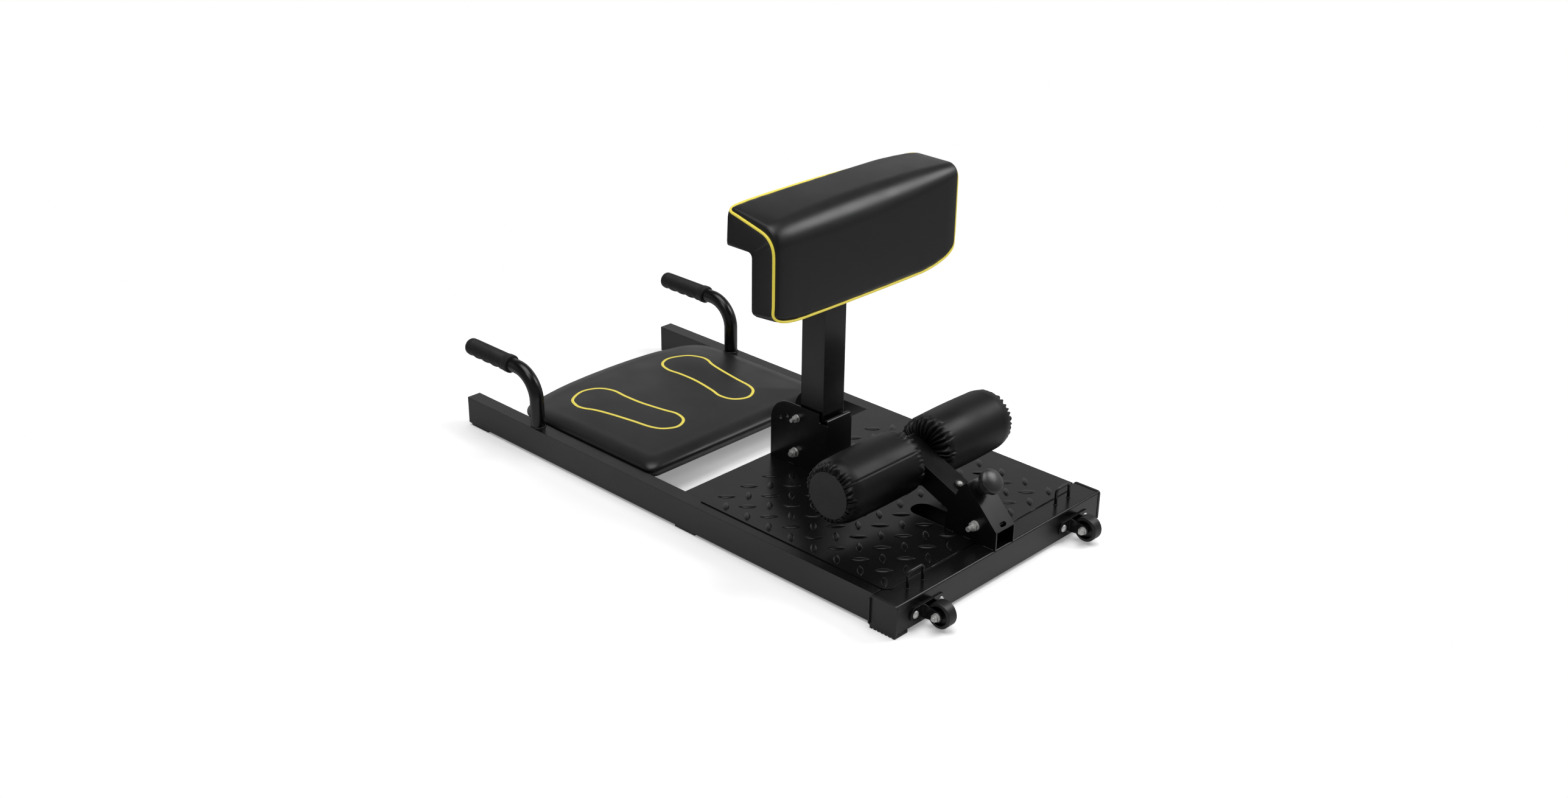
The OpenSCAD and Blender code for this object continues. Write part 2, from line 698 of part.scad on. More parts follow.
// Knob with flutes round its lower part and a plain dome over them
module arm_knob() placed() color(plastic_black) on_slope(pin_reach) translate([0, 0, boss_h + 1])
    difference() {
        belly_r = 8.5;
        dome_z = 18;
        edge_r = 1.5;
        flute_r = 7;
        union() {
            difference() {
                rotate_extrude() polygon(concat([[0, 0], [boss_r - 2, 0]],
                    arc([knob_r - 1 - belly_r, 10], belly_r, -70, 0, 8),
                    [[knob_r - 1, dome_z], [0, dome_z]]));
                for (i = [0:knob_flutes - 1]) rotate([0, 0, 87 + i * 360 / knob_flutes])
                    translate([knob_r + 2, 0, -cut]) cylinder(r = flute_r, h = dome_z + 2 * cut);
            }
            rotate_extrude() polygon(concat([[0, dome_z - cut]],
                arc([knob_r - edge_r, dome_z - cut + edge_r], edge_r, -90, 0, 4),
                [for (a = [10:10:90])
                    [knob_r * cos(a), dome_z - cut + edge_r + (knob_h - dome_z + cut - edge_r) * sin(a)]]));
        }
        translate([0, 0, -cut]) cylinder(r = pin_r + fit, h = knob_bore + cut);
    }

// Return spring round the pin, between its collar and the top of the chamber, as one unbroken coil
module arm_pin_spring() placed() color(zinc) on_slope(pin_reach) {
    turns = 5;
    steps = 12;
    wire_r = 0.55;
    coil_r = (pin_r + barrel_r - 2) / 2;
    low = chamber_low + slip + pin_collar + wire_r + 0.1;
    climb = chamber_top - wire_r - 0.1 - low;
    count = turns * steps;
    skin([for (k = [0:count]) let (a = k * 360 / steps, z = low + climb * k / count)
        [for (j = [0:5]) let (b = -j * 60, q = coil_r + wire_r * cos(b))
            [q * cos(a), q * sin(a), z + wire_r * sin(b)]]]);
}

// Roller arm and rollers

// Turns its children so that y runs along the arm from its pivot
module along_arm() {
    at_arm_pivot() rotate([arm_rest, 0, 0]) children();
}

module roller_arm() placed() color(steel_black) along_arm() difference() {
    union() {
        difference() {
            sheet_x(-arm_w / 2, arm_w, [[-arm_tail, arm_h / 2], [-arm_tail, -arm_h / 8],
                [-arm_tail / 3, -arm_h / 2], [arm_reach + arm_nose - 3, -arm_h / 2],
                [arm_reach + arm_nose - 3, arm_h / 2]]);
            translate([-arm_w / 2 + arm_wall, -arm_tail - cut, -arm_h / 2 + arm_wall])
                cube([arm_w - 2 * arm_wall, arm_l + 2 * cut, arm_h - 2 * arm_wall]);
        }
        rod_x(-arm_w / 2, 0, 0, m10 + 3, arm_w);
    }
    rod_x(-arm_w, 0, 0, m10 + fit, 2 * arm_w);
    rod_x(-arm_w, arm_reach, 0, axle_r + fit, 2 * arm_w);
    translate([0, stop_reach, arm_h / 2 - arm_wall - cut]) cylinder(r = m6 + fit, h = arm_wall + 2 * cut);
}

module arm_end_plug() placed() color(plastic_black) along_arm() {
    plug_gap = arm_wall + slip;
    sheet_x(-arm_w / 2, arm_w, rounded([[arm_reach + arm_nose - 3, -arm_h / 2, 0],
        [arm_reach + arm_nose, -arm_h / 2, 1.5], [arm_reach + arm_nose, arm_h / 2, 1.5],
        [arm_reach + arm_nose - 3, arm_h / 2, 0]], 3));
    block(0, arm_reach + axle_r + 2, -arm_h / 2 + plug_gap,
        [arm_w - 2 * plug_gap, arm_nose - axle_r - 5, arm_h - 2 * plug_gap]);
}

module arm_stop_bumper() placed() color(rubber_black) along_arm()
    translate([0, stop_reach, arm_h / 2]) difference() {
        cylinder(r1 = stop_r, r2 = stop_r - 1, h = stop_h);
        translate([0, 0, -cut]) cylinder(r = m6 + fit, h = stop_h + 2 * cut);
    }

module arm_stop_screw() placed() color(zinc) along_arm() translate([0, stop_reach, arm_h / 2]) {
    translate([0, 0, -arm_wall - 4]) cylinder(r = m6, h = arm_wall + 4 + stop_h);
    translate([0, 0, stop_h]) cylinder(r1 = 1.9 * m6, r2 = 1.3 * m6, h = 2.2);
}

module roller_cross_tube() placed() color(steel_black) along_arm() {
    half = roller_x + roller_l - disc_t - slip;
    difference() {
        rod_x(-half, arm_reach, 0, axle_r, 2 * half);
        rod_x(-half - cut, arm_reach, 0, axle_r - axle_wall, 2 * half + 2 * cut);
    }
}

module roller_washers() placed() color(plastic_black) along_arm() for (side = [-1, 1])
    difference() {
        rod_x(side * (arm_w / 2 + (roller_gap - slip) / 2) - (roller_gap - slip) / 2,
            arm_reach, 0, core_r + 4, roller_gap - slip);
        rod_x(-arm_w, arm_reach, 0, axle_r + fit, 2 * arm_w);
    }

// Core of a roller, from its inner end: a sleeve that turns on the tube, with a closed outer disc
module roller_core(side) along_arm() translate([side * roller_x, arm_reach, 0])
    rotate([0, side * 90, 0]) difference() {
        union() {
            cylinder(r = core_r, h = roller_l);
            translate([0, 0, roller_l - disc_t]) cylinder(r = disc_r, h = disc_t);
        }
        translate([0, 0, -cut]) cylinder(r = axle_r + fit, h = roller_l - disc_t + cut);
    }

// Padding of a roller: a long shoulder drawn in to the disc, a crowned middle, a round inner end
module roller_pad(side) along_arm() translate([side * roller_x, arm_reach, 0])
    rotate([0, side * 90, 0]) {
        inner_r = 26;
        mouth_r = disc_r + 0.5;
        shoulder_l = 33;
        shoulder_z = roller_l - disc_t / 2 - shoulder_l;
        rotate_extrude() polygon(concat(
            [[core_r + fit, roller_l - disc_t - fit], [core_r + fit, disc_t]],
            arc([roller_r - 1 - inner_r, inner_r], inner_r, -90, 0, 8),
            [for (t = [0.3, 0.5, 0.7]) [roller_r - (t == 0.5 ? 0 : 0.3), roller_l * t]],
            [for (a = [0:10:90])
                [mouth_r + (roller_r - 1 - mouth_r) * cos(a), shoulder_z + shoulder_l * sin(a)]],
            [[mouth_r, roller_l - disc_t - fit]]));
    }

module left_roller_core() placed() color(plastic_grey) roller_core(-1);

module right_roller_core() placed() color(plastic_grey) roller_core(1);

module left_roller() placed() color(vinyl_black) roller_pad(-1);

module right_roller() placed() color(vinyl_black) roller_pad(1);

// Post bracket and post

// Calls its children at the pivot, or at a stop hole turned back about the pivot by angle a
module at_post_pivot() {
    translate([0, post_pivot_y, post_pivot_z]) children();
}

module at_stop_hole(a) {
    at_post_pivot() rotate([-a, 0, 0])
        translate([0, stop_bolt_y - post_pivot_y, stop_bolt_rise]) children();
}

// Outline of a side of the post bracket: step over the plate's edge, round rear, notch in front
function bracket_side() =
    let (h = beam_top + bracket_h, r = 51, notch_y = post_y + 5, notch_z = h - notch_drop)
    concat([[bracket_y, plate_top], [bracket_y, notch_z]],
        rounded([[bracket_y, notch_z, 0], [notch_y, notch_z, 5], [notch_y, h, 3],
            [bracket_end - r, h, 0]]),
        arc([bracket_end - r, h - r], r, 90, 0, 12),
        [[bracket_end, beam_top], [plate_end + slip, beam_top], [plate_end + slip, plate_top]]);

module post_bracket() placed() color(steel_black) difference() {
    lip_z = beam_top + bracket_h - 14;
    union() {
        for (side = [-1, 1])
            sheet_x(side * (bracket_w - sheet_t) / 2 - sheet_t / 2, sheet_t, bracket_side());
        block(0, bracket_y, plate_top, [bracket_in + 2 * fit, sheet_t, lip_z - plate_top]);
        translate([-bracket_in / 2, bracket_y + lip_r, lip_z]) rotate([90, 0, 90])
            difference() {
                cylinder(r = lip_r, h = bracket_in);
                translate([0, 0, -cut]) cylinder(r = lip_r - sheet_t, h = bracket_in + 2 * cut);
                translate([-2 * lip_r, -2 * lip_r, -cut])
                    cube([4 * lip_r, 2 * lip_r, bracket_in + 2 * cut]);
            }
    }
    at_post_pivot() rod_x(-bracket_w, 0, 0, m10 + fit, 2 * bracket_w);
    for (a = [0, second_stop, third_stop]) at_stop_hole(a) rod_x(-bracket_w, 0, 0, m8 + fit, 2 * bracket_w);
}

module post_pivot_bolt() placed() color(zinc) at_post_pivot() {
    bolt_x(m10, bracket_w, 16, 2);
    washer_x(m10, bracket_w, 2 - fit);
}

module post_pivot_nut() placed() color(zinc) at_post_pivot() nut_x(m10, bracket_w, 2);

module post_stop_bolt() placed() color(zinc) at_stop_hole(0) {
    bolt_x(m8, bracket_w, 18, 1.6);
    washer_x(m8, bracket_w, 1.6 - fit);
}

module post_stop_nut() placed() color(zinc) at_stop_hole(0) nut_x(m8, bracket_w, 1.6);

module post_tube() placed() color(steel_black) difference() {
    block(0, post_y, post_bottom, [post_w, post_w, post_top - post_bottom]);
    block(0, post_y + tube_wall, post_bottom - cut,
        [post_w - 2 * tube_wall, post_w - 2 * tube_wall, post_top - post_bottom + 2 * cut]);
}

// Sleeve welded along the post's rear face, which turns on the pivot bolt
module post_hinge_sleeve() placed() color(steel_black) at_post_pivot() difference() {
    l = bracket_in - 2 * cheek_gap;
    union() {
        rod_x(-l / 2, 0, 0, sleeve_r, l);
        translate([-l / 2, -sleeve_r, -sleeve_r]) cube([l, sleeve_r, 2 * sleeve_r]);
    }
    rod_x(-l, 0, 0, m10 + fit, 2 * l);
}

module post_end_plug() placed() color(plastic_black) {
    plug_gap = tube_wall + slip;
    block(0, post_y, post_bottom - 3, [post_w, post_w, 3]);
    block(0, post_y + plug_gap, post_bottom, [post_w - 2 * plug_gap, post_w - 2 * plug_gap, 14]);
}

// Calf pad

// Plate behind the front arm with two ribs to the post, and a plate on the post's top
module calf_pad_bracket() placed() color(steel_black) difference() {
    union() {
        block(0, calf_back_y, calf_plate_z, [calf_plate_w, calf_plate_t, calf_seat_z - calf_plate_z]);
        block(0, calf_back_y, post_top, [calf_plate_w, calf_seat_l - 6, calf_plate_t]);
        for (x = [-post_w / 2 + calf_plate_t / 2, post_w / 2 - calf_plate_t / 2])
            block(x, calf_back_y, calf_plate_z, [calf_plate_t, calf_back_gap, post_top - calf_plate_z]);
    }
    calf_screw_places() cylinder(r = m6 + fit, h = 4 * calf_plate_t, center = true);
}

// Calls its children at each screw of the calf pad, pointing into a board from its outer face
module calf_screw_places() {
    for (side = [-1, 1]) {
        for (z = [calf_plate_z + 15, calf_seat_z - 30])
            translate([side * calf_plate_w * 0.38, calf_back_y, z]) rotate([90, 0, 0]) children();
        translate([side * calf_plate_w * 0.38, calf_back_y + calf_seat_l / 2, calf_seat_z]) children();
    }
}

// The two boards that the padding is stretched over, flush with its back and its underside; gap and
// reach widen them into the seat that is cut in the padding
module calf_boards(gap = 0, reach = 0) {
    l = calf_w - 16 + 2 * gap;
    low = calf_seat_z - calf_drop + 14;
    front = calf_back_y - board_t - gap;
    block(0, front, low - gap, [l, board_t + gap + reach, calf_seat_z - low + gap]);
    block(0, front, calf_seat_z - reach, [l, calf_seat_l + board_t - 5 + 2 * gap, board_t + gap + reach]);
}

module calf_pad_board() placed() color(plywood) difference() {
    calf_boards();
    calf_screw_places() cylinder(r = m6 + fit, h = 2 * board_t + cut, center = true);
}

// Outline [y, z] of the pad drawn in by d: front arm, wide nose, sloping top and rear edge
function calf_outline(d) =
    let (front = calf_back_y - calf_front_t + d, low = calf_seat_z - calf_drop + 1.7 * d)
    let (rear_z = calf_seat_z + calf_top_t - 0.9 * d, nose_z = rear_z - 15 - 1.5 * d)
    rounded([[calf_back_y, low, 4], [calf_back_y, calf_seat_z, inner_round], [calf_rear_y, calf_seat_z, 4],
        [calf_rear_y, rear_z, 10], [front, nose_z, 36], [front, low, 14]], 6);

module calf_pad() placed() color(vinyl_black) difference() {
    half = calf_w / 2;
    turn = 42;
    draws = concat([[half, 1]], [for (a = [70:-14:0]) [half - turn * (1 - sin(a)), 1 - cos(a)]], [[0, 0]]);
    skin(concat(
        [for (q = draws) [for (p = calf_outline(calf_crown * q[1])) [-q[0], p.x, p.y]]],
        [for (i = [len(draws) - 2:-1:0]) let (q = draws[i])
            [for (p = calf_outline(calf_crown * q[1])) [q[0], p.x, p.y]]]));
    calf_boards(fit, inner_round + 2);
    calf_screw_places() cylinder(r = m6 + fit, h = 2 * board_t + 8, center = true);
}

module calf_pad_screws() placed() color(zinc) calf_screw_places() {
    translate([0, 0, -calf_plate_t]) cylinder(r = m6, h = calf_plate_t + board_t + 3);
    translate([0, 0, -calf_plate_t - 3]) cylinder(r1 = 1.6 * m6, r2 = 2 * m6, h = 3);
}

// Band loops

module band_loop(side) translate([side * side_fit_x, beam_w / 2, beam_top]) {
    turn_r = 8;
    top = loop_h - loop_r;
    for (end = [-1, 1]) {
        translate([end * loop_w / 2, 0, 0]) cylinder(r = loop_r, h = top - turn_r);
        translate([end * (loop_w / 2 - turn_r), 0, top - turn_r]) rotate([90, 0, 0])
            rotate([0, 0, end > 0 ? 0 : 90]) rotate_extrude(angle = 90) translate([turn_r, 0])
                circle(r = loop_r);
    }
    rod_x(-loop_w / 2 + turn_r, 0, top, loop_r, loop_w - 2 * turn_r);
}

module left_band_loop() placed() color(steel_black) band_loop(-1);

module right_band_loop() placed() color(steel_black) band_loop(1);

// Wheels

module at_wheel(side) {
    translate([side * side_fit_x, -wheel_reach, wheel_z]) children();
}

// Strip with round ends on the beam's face, and two tapering ears that carry the axle
module wheel_bracket(side) at_wheel(side) difference() {
    union() {
        translate([0, wheel_reach, 0]) rotate([90, 0, 0]) linear_extrude(sheet_t) union() {
            square([flange_span, flange_h], center = true);
            for (end = [-1, 1]) translate([end * flange_span / 2, 0]) circle(r = flange_h / 2);
        }
        for (x = [-ear_out, ear_in])
            sheet_x(x, sheet_t, concat([[wheel_reach - sheet_t, flange_h / 2]],
                arc([0, 0], ear_r, 96, 264, 14), [[wheel_reach - sheet_t, -flange_h / 2]]));
    }
    rod_x(-2 * ear_out, 0, 0, m8 + fit, 4 * ear_out);
    for (end = [-1, 1]) translate([end * flange_span / 2, wheel_reach + cut, 0])
        rotate([90, 0, 0]) cylinder(r = m8 + fit, h = sheet_t + 2 * cut);
}

module left_wheel_bracket() placed() color(steel_black) wheel_bracket(-1);

module right_wheel_bracket() placed() color(steel_black) wheel_bracket(1);

module wheel_bracket_screws() placed() color(zinc) for (side = [-1, 1]) for (end = [-1, 1])
    at_wheel(side) translate([end * flange_span / 2, wheel_reach + tube_wall + 6, 0]) rotate([90, 0, 0]) {
        cylinder(r = m8, h = tube_wall + 6 + sheet_t);
        translate([0, 0, tube_wall + 6 + sheet_t]) rotate_extrude() intersection() {
            translate([0, -5]) circle(r = 9);
            square([2 * m8, 10]);
        }
    }

// Wheel with a flat tread and a hub recessed on both sides
module wheel(side) at_wheel(side) translate([-wheel_w / 2, 0, 0]) rotate([0, 90, 0]) {
    hub_r = 8;
    rim_in = wheel_r - 6;
    recess = 8;
    edge_r = 2;
    rotate_extrude() polygon(concat(
        [[m8 + fit, 0], [hub_r, 0], [hub_r, recess], [rim_in, recess], [rim_in, 0]],
        arc([wheel_r - edge_r, edge_r], edge_r, -90, 0, 4),
        arc([wheel_r - edge_r, wheel_w - edge_r], edge_r, 0, 90, 4),
        [[rim_in, wheel_w], [rim_in, wheel_w - recess], [hub_r, wheel_w - recess], [hub_r, wheel_w],
        [m8 + fit, wheel_w]]));
}

module left_wheel() placed() color(plastic_black) wheel(-1);

module right_wheel() placed() color(plastic_black) wheel(1);

module left_wheel_bolt() placed() color(zinc) at_wheel(-1) bolt_x(m8, 2 * ear_out, 12, 0);

module right_wheel_bolt() placed() color(zinc) at_wheel(1) bolt_x(m8, 2 * ear_out, 12, 0);

module left_wheel_nut() placed() color(zinc) at_wheel(-1) nut_x(m8, 2 * ear_out, 1.6);

module right_wheel_nut() placed() color(zinc) at_wheel(1) nut_x(m8, 2 * ear_out, 1.6);

front_beam();
left_rail();
right_rail();
rail_end_plates();
platform_cross_tube();
platform_stiffeners();
tread_plate();
left_beam_cap();
right_beam_cap();
rail_feet();
pad_cross_tubes();
push_up_pad_board();
push_up_pad();
push_up_pad_screws();
left_handle_tube();
right_handle_tube();
left_grip();
right_grip();
arm_bracket();
arm_pivot_bolt();
arm_pivot_nut();
arm_pin_boss();
arm_pin();
arm_knob();
arm_pin_spring();
roller_arm();
arm_end_plug();
arm_stop_bumper();
arm_stop_screw();
roller_cross_tube();
roller_washers();
left_roller_core();
right_roller_core();
left_roller();
right_roller();
post_bracket();
post_pivot_bolt();
post_pivot_nut();
post_stop_bolt();
post_stop_nut();
post_tube();
post_hinge_sleeve();
post_end_plug();
calf_pad_bracket();
calf_pad_board();
calf_pad();
calf_pad_screws();
left_band_loop();
right_band_loop();
left_wheel_bracket();
right_wheel_bracket();
wheel_bracket_screws();
left_wheel();
right_wheel();
left_wheel_bolt();
right_wheel_bolt();
left_wheel_nut();
right_wheel_nut();
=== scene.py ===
"""Looks of the squat machine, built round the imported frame.

Lengths are millimetres until a mesh is made. x runs across the machine, y from the front beam's
front face to the rear, and z up from the top of the beam, which are the source's own stations.
"""

import json
import math

import bmesh
import bpy
import numpy as np
from mathutils import Matrix, Vector


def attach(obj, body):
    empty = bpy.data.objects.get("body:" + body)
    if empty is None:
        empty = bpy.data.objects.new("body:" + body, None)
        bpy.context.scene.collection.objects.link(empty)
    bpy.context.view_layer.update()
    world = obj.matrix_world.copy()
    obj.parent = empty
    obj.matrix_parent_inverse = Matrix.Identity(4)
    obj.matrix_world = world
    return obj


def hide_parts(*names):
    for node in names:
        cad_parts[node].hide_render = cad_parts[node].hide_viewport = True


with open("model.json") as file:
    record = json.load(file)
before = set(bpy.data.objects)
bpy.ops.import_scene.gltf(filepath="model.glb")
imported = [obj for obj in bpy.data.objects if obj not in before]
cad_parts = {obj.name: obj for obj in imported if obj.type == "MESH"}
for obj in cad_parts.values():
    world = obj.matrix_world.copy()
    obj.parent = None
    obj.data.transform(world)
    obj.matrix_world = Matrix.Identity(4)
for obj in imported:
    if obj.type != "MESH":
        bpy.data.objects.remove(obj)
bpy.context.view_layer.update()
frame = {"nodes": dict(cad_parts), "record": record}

NODES = frame["nodes"]
MM = 0.001
MID_Y = 585.25
BEAM_TOP = 66.0

# Camera: place in the shared frame, angles and lens, as solved from the straight tubes

CAMERA_PLACE = (-2369.2, -2264.35, 1684.0)
AZIMUTH, ELEVATION, ROLL = (math.radians(a) for a in (-46.518, 24.730, 0.733))
LENS, SENSOR_W, FAR_CLIP = 40.75, 36, 60

forward = Vector((math.sin(-AZIMUTH) * math.cos(ELEVATION), math.cos(AZIMUTH) * math.cos(ELEVATION),
                  -math.sin(ELEVATION)))
level = forward.cross(Vector((0, 0, 1))).normalized()
upward = level.cross(forward)
right = level * math.cos(ROLL) + upward * math.sin(ROLL)
top = right.cross(forward)
camera = bpy.data.objects.new("camera", bpy.data.cameras.new("camera"))
camera.matrix_world = Matrix.Translation(Vector(CAMERA_PLACE) * MM) @ Matrix(
    (right, top, -forward)).transposed().to_4x4()
camera.data.lens = LENS
camera.data.sensor_width = SENSOR_W
camera.data.clip_end = FAR_CLIP
bpy.context.scene.collection.objects.link(camera)
bpy.context.scene.camera = camera


# Meshes

# Distances in m below which points are merged and edges dissolved
MERGE, SLIVER = 1e-6, 1e-7


def grid_faces(rows, cols, wrap_rows=False, wrap_cols=False, start=0):
    """Quads between the points of a grid: (i, j), (i, j + 1), (i + 1, j + 1), (i + 1, j)."""
    i, j = np.meshgrid(np.arange(rows - (not wrap_rows)), np.arange(cols - (not wrap_cols)),
                       indexing="ij")
    ni, nj = (i + 1) % rows, (j + 1) % cols
    quads = np.stack([i * cols + j, i * cols + nj, ni * cols + nj, ni * cols + j], axis=-1)
    return start + quads.reshape(-1, 4)


def surface(name, sheets, material, body):
    """One object from several grids, each (points [rows, cols, 3], wrap rows, wrap cols).

    Their shared edges are merged, which also closes poles, and the faces are turned outwards."""
    points, faces, start = [], [], 0
    for grid, wrap_rows, wrap_cols in sheets:
        rows, cols = grid.shape[:2]
        points.append(grid.reshape(-1, 3))
        faces.append(grid_faces(rows, cols, wrap_rows, wrap_cols, start))
        start += rows * cols
    points = (np.concatenate(points) + (0, -MID_Y, BEAM_TOP)) * MM
    mesh = bpy.data.meshes.new(name)
    mesh.from_pydata(points, [], np.concatenate(faces).tolist())
    work = bmesh.new()
    work.from_mesh(mesh)
    bmesh.ops.remove_doubles(work, verts=work.verts, dist=MERGE)
    bmesh.ops.dissolve_degenerate(work, edges=work.edges, dist=SLIVER)
    bmesh.ops.recalc_face_normals(work, faces=work.faces)
    work.to_mesh(mesh)
    work.free()
    mesh.polygons.foreach_set("use_smooth", np.ones(len(mesh.polygons), bool))
    mesh.materials.append(material)
    made = bpy.data.objects.new(name, mesh)
    bpy.context.scene.collection.objects.link(made)
    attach(made, body)
    return made


def capped(rings):
    """The rings with a pole before the first and after the last, each at its ring's middle."""
    poles = [np.broadcast_to(rings[k].mean(0), rings[k].shape)[None] for k in (0, -1)]
    return np.concatenate([poles[0], rings, poles[1]])


def resampled(path, count, closed=False, crowd=0.0):
    """count points evenly spaced along a polyline; crowd from 0 to 1 gathers them at its ends.

    A point's share t of the length becomes (1 - crowd) t + crowd (1 - cos(pi t)) / 2."""
    path = np.asarray(path, float)
    if closed:
        path = np.concatenate([path, path[:1]])
    length = np.concatenate([[0], np.cumsum(np.linalg.norm(np.diff(path, axis=0), axis=1))])
    t = np.linspace(0, 1, count + closed)[:count]
    t = (1 - crowd) * t + crowd * (1 - np.cos(np.pi * t)) / 2
    return np.stack([np.interp(t * length[-1], length, path[:, k])
                     for k in range(path.shape[1])], axis=1)


def unit(v):
    """Each row divided by its length."""
    return v / np.maximum(np.linalg.norm(v, axis=-1, keepdims=True), 1e-9)


def ramp(distance, width, lowest=0.0):
    """distance / width, but no less than lowest and no more than 1."""
    return np.clip(distance / width, lowest, 1)


def fading(distance, width):
    """Falls smoothly from 1 to 0 round distance 0: 1 / (1 + e^(distance / width))."""
    return 1 / (1 + np.exp(distance / width))


def round_corner(a, p, b, r, steps=10):
    """Arc of radius r that rounds the corner p of the path a, p, b.

    Its centre lies r / sin(half the corner's angle) from p on the bisector."""
    a, p, b = (np.asarray(q, float) for q in (a, p, b))
    u, v = unit(a - p), unit(b - p)
    half = math.acos(np.clip(u @ v, -1, 1)) / 2
    centre = p + unit(u + v) * r / math.sin(half)
    start, stop = p + u * r / math.tan(half) - centre, p + v * r / math.tan(half) - centre
    first = math.atan2(start[1], start[0])
    sweep = (math.atan2(stop[1], stop[0]) - first + math.pi) % (2 * math.pi) - math.pi
    turn = first + sweep * np.linspace(0, 1, steps + 1)
    return centre + r * np.stack([np.cos(turn), np.sin(turn)], axis=1)


def closed_spline(points, count):
    """Closed Catmull-Rom curve through the points.

    Between b and c it is 0.5 (2b + (c - a)t + (2a - 5b + 4c - d)t2 + (3b - a - 3c + d)t3)."""
    b = np.asarray(points, float)
    a, c, d = np.roll(b, 1, 0), np.roll(b, -1, 0), np.roll(b, -2, 0)
    t = np.linspace(0, 1, 12, endpoint=False)[:, None, None]
    curve = 0.5 * (2 * b + (c - a) * t + (2 * a - 5 * b + 4 * c - d) * t ** 2
                   + (3 * b - a - 3 * c + d) * t ** 3)
    return resampled(curve.transpose(1, 0, 2).reshape(-1, b.shape[1]), count, closed=True)


def tube(path, radius, out, sides, closed=False):
    """Sheet of a round section carried along a path: centre + r (cos a side + sin a out).

    radius is one number or one for each point. An open tube is closed by a point at each end."""
    path, out = np.asarray(path, float), np.asarray(out, float)
    out = np.broadcast_to(out, path.shape)
    along = unit(np.roll(path, -1, 0) - np.roll(path, 1, 0) if closed
                 else np.gradient(path, axis=0))
    side = unit(np.cross(along, out))
    out = np.cross(side, along)
    a = np.linspace(0, 2 * np.pi, sides, endpoint=False)
    radius = np.broadcast_to(radius, len(path))[:, None, None]
    rings = path[:, None] + radius * (np.cos(a)[:, None] * side[:, None]
                                      + np.sin(a)[:, None] * out[:, None])
    if not closed:
        ends = [np.repeat(path[k][None, None], sides, 1) for k in (0, -1)]
        rings = np.concatenate([ends[0], rings, ends[1]])
    return rings, closed, True


# Finishes

# Size in mm of the patches over which every surface is a little duller or brighter
SMEAR = 71.4


def srgb(code):
    """Linear colour of a hex sRGB value."""
    c = np.array([int(code[k:k + 2], 16) for k in (1, 3, 5)]) / 255
    return (*np.where(c <= 0.04045, c / 12.92, ((c + 0.055) / 1.055) ** 2.4), 1.0)


def per_metre(size):
    """Scale of a pattern whose features are size mm across."""
    return 1 / (size * MM)


def node(tree, kind, inputs=None, **settings):
    """Adds a node with its settings; inputs maps each socket to a value or the output it reads."""
    made = tree.nodes.new(kind)
    for key, value in settings.items():
        setattr(made, key, value)
    for socket, value in (inputs or {}).items():
        if isinstance(value, bpy.types.NodeSocket):
            tree.links.new(value, made.inputs[socket])
        else:
            made.inputs[socket].default_value = value
    return made


def finish(name, dark, light, rough, grain, depth, patch=111.1, edge=0.0, **shader):
    """A material whose colour drifts between dark and light over patches, with a fine bump.

    rough is (lowest, highest); grain is a list of (kind, size, share); depth is the bump's depth,
    patch the size of the patches and edge the radius to which sharp edges are shaded round, all
    in mm; shader holds plain values for the shader's sockets."""
    made = bpy.data.materials.new(name)
    made.use_nodes = True
    tree = made.node_tree
    tree.nodes.clear()
    place = node(tree, "ShaderNodeTexCoord").outputs["Object"]
    patches = node(tree, "ShaderNodeTexNoise", {
        "Vector": place, "Scale": per_metre(patch), "Detail": 4.0, "Roughness": 0.6}).outputs["Fac"]
    colour = node(tree, "ShaderNodeMix", {0: patches, 6: srgb(dark), 7: srgb(light)},
                  data_type="RGBA").outputs[2]
    height = None
    for kind, size, share in grain:
        if kind == "cells":
            relief = node(tree, "ShaderNodeTexVoronoi", {"Vector": place, "Scale": per_metre(size)},
                          feature="SMOOTH_F1").outputs["Distance"]
        else:
            relief = node(tree, "ShaderNodeTexNoise", {
                "Vector": place, "Scale": per_metre(size), "Detail": 3.0}).outputs["Fac"]
        part = node(tree, "ShaderNodeMath", {0: relief, 1: share}, operation="MULTIPLY").outputs[0]
        height = part if height is None else node(
            tree, "ShaderNodeMath", {0: height, 1: part}, operation="ADD").outputs[0]
    under = {}
    if edge:
        under["Normal"] = node(tree, "ShaderNodeBevel", {"Radius": edge * MM}, samples=4).outputs[0]
    normal = node(tree, "ShaderNodeBump", {
        "Height": height, "Distance": depth * MM, "Strength": 1.0, **under}).outputs["Normal"]
    smear = node(tree, "ShaderNodeTexNoise", {
        "Vector": place, "Scale": per_metre(SMEAR), "Detail": 2.0}).outputs["Fac"]
    roughness = node(tree, "ShaderNodeMapRange", {
        "Value": smear, "From Min": 0.3, "From Max": 0.7, "To Min": rough[0], "To Max": rough[1]
    }).outputs[0]
    skin = node(tree, "ShaderNodeBsdfPrincipled", {
        "Base Color": colour, "Roughness": roughness, "Normal": normal, **shader})
    node(tree, "ShaderNodeOutputMaterial", {"Surface": skin.outputs[0]})
    return made


# Steel under black polyester powder coat: satin, with the faint orange peel that it cures to.
# The peel is about 1.5 mm across and a few micrometres deep, and is drawn a little deeper.
powder_coat = finish("powder_coated_steel", "#0b0b0c", "#111112", (0.22, 0.28),
                     [("noise", 1.5, 0.7), ("noise", 0.7, 0.3)], 0.006, edge=1.1, IOR=1.5)
# Smooth leathercloth of the flat pads, PVC on a knit back: satin, fine pebble about 1.1 mm across
leathercloth = finish("smooth_leathercloth", "#19191a", "#1f1f20", (0.32, 0.40),
                      [("cells", 1.1, 0.5), ("noise", 0.5, 0.3)], 0.05, IOR=1.5)
